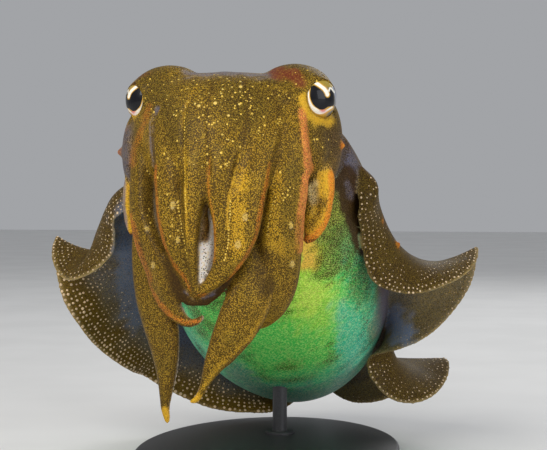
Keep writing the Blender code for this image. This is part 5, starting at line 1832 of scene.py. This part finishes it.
class CUTTLEFISH_OT_fin_spots(bpy.types.Operator):
    """Build the rows of pale spots on the fins"""
    bl_idname = "cuttlefish.fin_spots"
    bl_label = "Fin spots"

    def execute(self, context):
        finish = spot_material("fin spot", context.scene.cuttlefish_cups.spot_colour)
        for name, side in (("left", 1.0), ("right", -1.0)):
            spots = build_spots(name, side)
            spots.data.materials.append(finish)
            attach(spots, "root")
        return {"FINISHED"}


class CUTTLEFISH_OT_stand(bpy.types.Operator):
    """Build the display stand's base and rod"""
    bl_idname = "cuttlefish.stand"
    bl_label = "Stand"

    def execute(self, context):
        finish = stand_material(context.scene.cuttlefish_stand.metal_colour)
        low, high, middle = node_box("stand_base")
        half, long_half, thick = (high[0] - low[0]) / 2, (high[1] - low[1]) / 2, high[2]
        edge = 1.2 * MM
        under = quarter_round(half - edge, 0.0, edge, 1.0)
        over = quarter_round(half - edge, thick, edge, -1.0)[::-1]
        base = turned_shape("display_base", under + over, middle, long_half - half, 160)
        low, high, middle = node_box("stand_rod")
        radius = (high[0] - low[0]) / 2
        foot = [(radius * share, thick + level * MM) for share, level in FOOT_PROFILE]
        foot.append((radius, high[2] + 0.5 * MM))
        rod = turned_shape("display_rod", foot, middle, 0.0, 64)
        for piece, node in ((base, "stand_base"), (rod, "stand_rod")):
            piece.data.materials.append(finish)
            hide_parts(node)
            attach(piece, "root")
        return {"FINISHED"}


class CUTTLEFISH_OT_stage(bpy.types.Operator):
    """Set the pale floor, the soft light and the camera at the photograph's view"""
    bl_idname = "cuttlefish.stage"
    bl_label = "Stage"

    def execute(self, context):
        scene = context.scene
        corners = [(x * FLOOR_HALF, y * FLOOR_HALF, 0) for x, y in ((-1, -1), (1, -1), (1, 1), (-1, 1))]
        floor = make_mesh("floor", corners, [(0, 1, 2, 3)])
        finish, tree, shader, place = new_material("pale floor")
        cloud = ramp(tree, noise(tree, place, 14.0), 0.3, 0.7)
        tone = mix(tree, cloud, *FLOOR_TONES)
        link(tree, tone, shader.inputs["Base Color"])
        shader.inputs["Roughness"].default_value = 0.7
        floor.data.materials.append(finish)

        world = bpy.data.worlds.new("soft room")
        world.use_nodes = True
        world.node_tree.nodes["Background"].inputs[0].default_value = ROOM_COLOUR
        world.node_tree.nodes["Background"].inputs[1].default_value = ROOM_STRENGTH
        scene.world = world
        for light in LIGHTS:
            add_light(*light)
        add_camera(scene)
        scene.view_settings.view_transform = "Standard"
        return {"FINISHED"}


def add_light(name, place, size, power, colour):
    """A soft square light that looks at the middle of the animal."""
    lamp = bpy.data.lights.new(name, "AREA")
    lamp.shape = "SQUARE"
    lamp.size = size
    lamp.energy = power
    lamp.color = colour
    thing = bpy.data.objects.new(name, lamp)
    thing.location = place
    aim = Vector(LIGHT_AIM) - Vector(place)
    thing.rotation_euler = aim.to_track_quat("-Z", "Y").to_euler()
    bpy.context.scene.collection.objects.link(thing)


def add_camera(scene):
    """The photograph's view, from the animal's front and a little to its left."""
    camera = bpy.data.cameras.new("camera")
    camera.sensor_width = SENSOR_WIDTH
    camera.lens = FOCAL_PIXELS / FRAME_WIDTH * SENSOR_WIDTH
    forward, right, up = view_ways()
    thing = bpy.data.objects.new("camera", camera)
    thing.location = HEAD_CENTRE - right * LENS_ASIDE - up * LENS_ABOVE - forward * HEAD_DISTANCE
    thing.rotation_euler = Vector(forward).to_track_quat("-Z", "Y").to_euler()
    camera.clip_start = 0.01
    scene.collection.objects.link(thing)
    scene.camera = thing


class CUTTLEFISH_PT_model(bpy.types.Panel):
    """Lists the steps that build the model"""
    bl_idname = "CUTTLEFISH_PT_model"
    bl_label = "Cuttlefish model"
    bl_space_type = "VIEW_3D"
    bl_region_type = "UI"
    bl_category = "Cuttlefish"

    def draw(self, context):
        for operator in OPERATORS:
            self.layout.operator(operator.bl_idname)
        for name in SETTINGS:
            group = getattr(context.scene, name)
            for label in group.bl_rna.properties.keys():
                if label not in ("rna_type", "name"):
                    self.layout.prop(group, label)


OPERATORS = (CUTTLEFISH_OT_skin, CUTTLEFISH_OT_beads, CUTTLEFISH_OT_eyes, CUTTLEFISH_OT_suckers,
             CUTTLEFISH_OT_fin_spots, CUTTLEFISH_OT_stand, CUTTLEFISH_OT_stage)
SETTINGS = {"cuttlefish_skin": CuttlefishSkin, "cuttlefish_eyes": CuttlefishEyes,
            "cuttlefish_cups": CuttlefishCups, "cuttlefish_stand": CuttlefishStand}


def register():
    """Register the settings, the operators and the panel."""
    for name, group in SETTINGS.items():
        bpy.utils.register_class(group)
        setattr(bpy.types.Scene, name, bpy.props.PointerProperty(type=group))
    for entry in (*OPERATORS, CUTTLEFISH_PT_model):
        bpy.utils.register_class(entry)


def unregister():
    """Undo register."""
    for entry in reversed((*OPERATORS, CUTTLEFISH_PT_model)):
        bpy.utils.unregister_class(entry)
    for name, group in SETTINGS.items():
        delattr(bpy.types.Scene, name)
        bpy.utils.unregister_class(group)


def main():
    """Build every piece."""
    register()
    bpy.ops.cuttlefish.skin()
    bpy.ops.cuttlefish.beads()
    bpy.ops.cuttlefish.eyes()
    bpy.ops.cuttlefish.suckers()
    bpy.ops.cuttlefish.fin_spots()
    bpy.ops.cuttlefish.stand()
    bpy.ops.cuttlefish.stage()


if __name__ == "__main__":
    main()
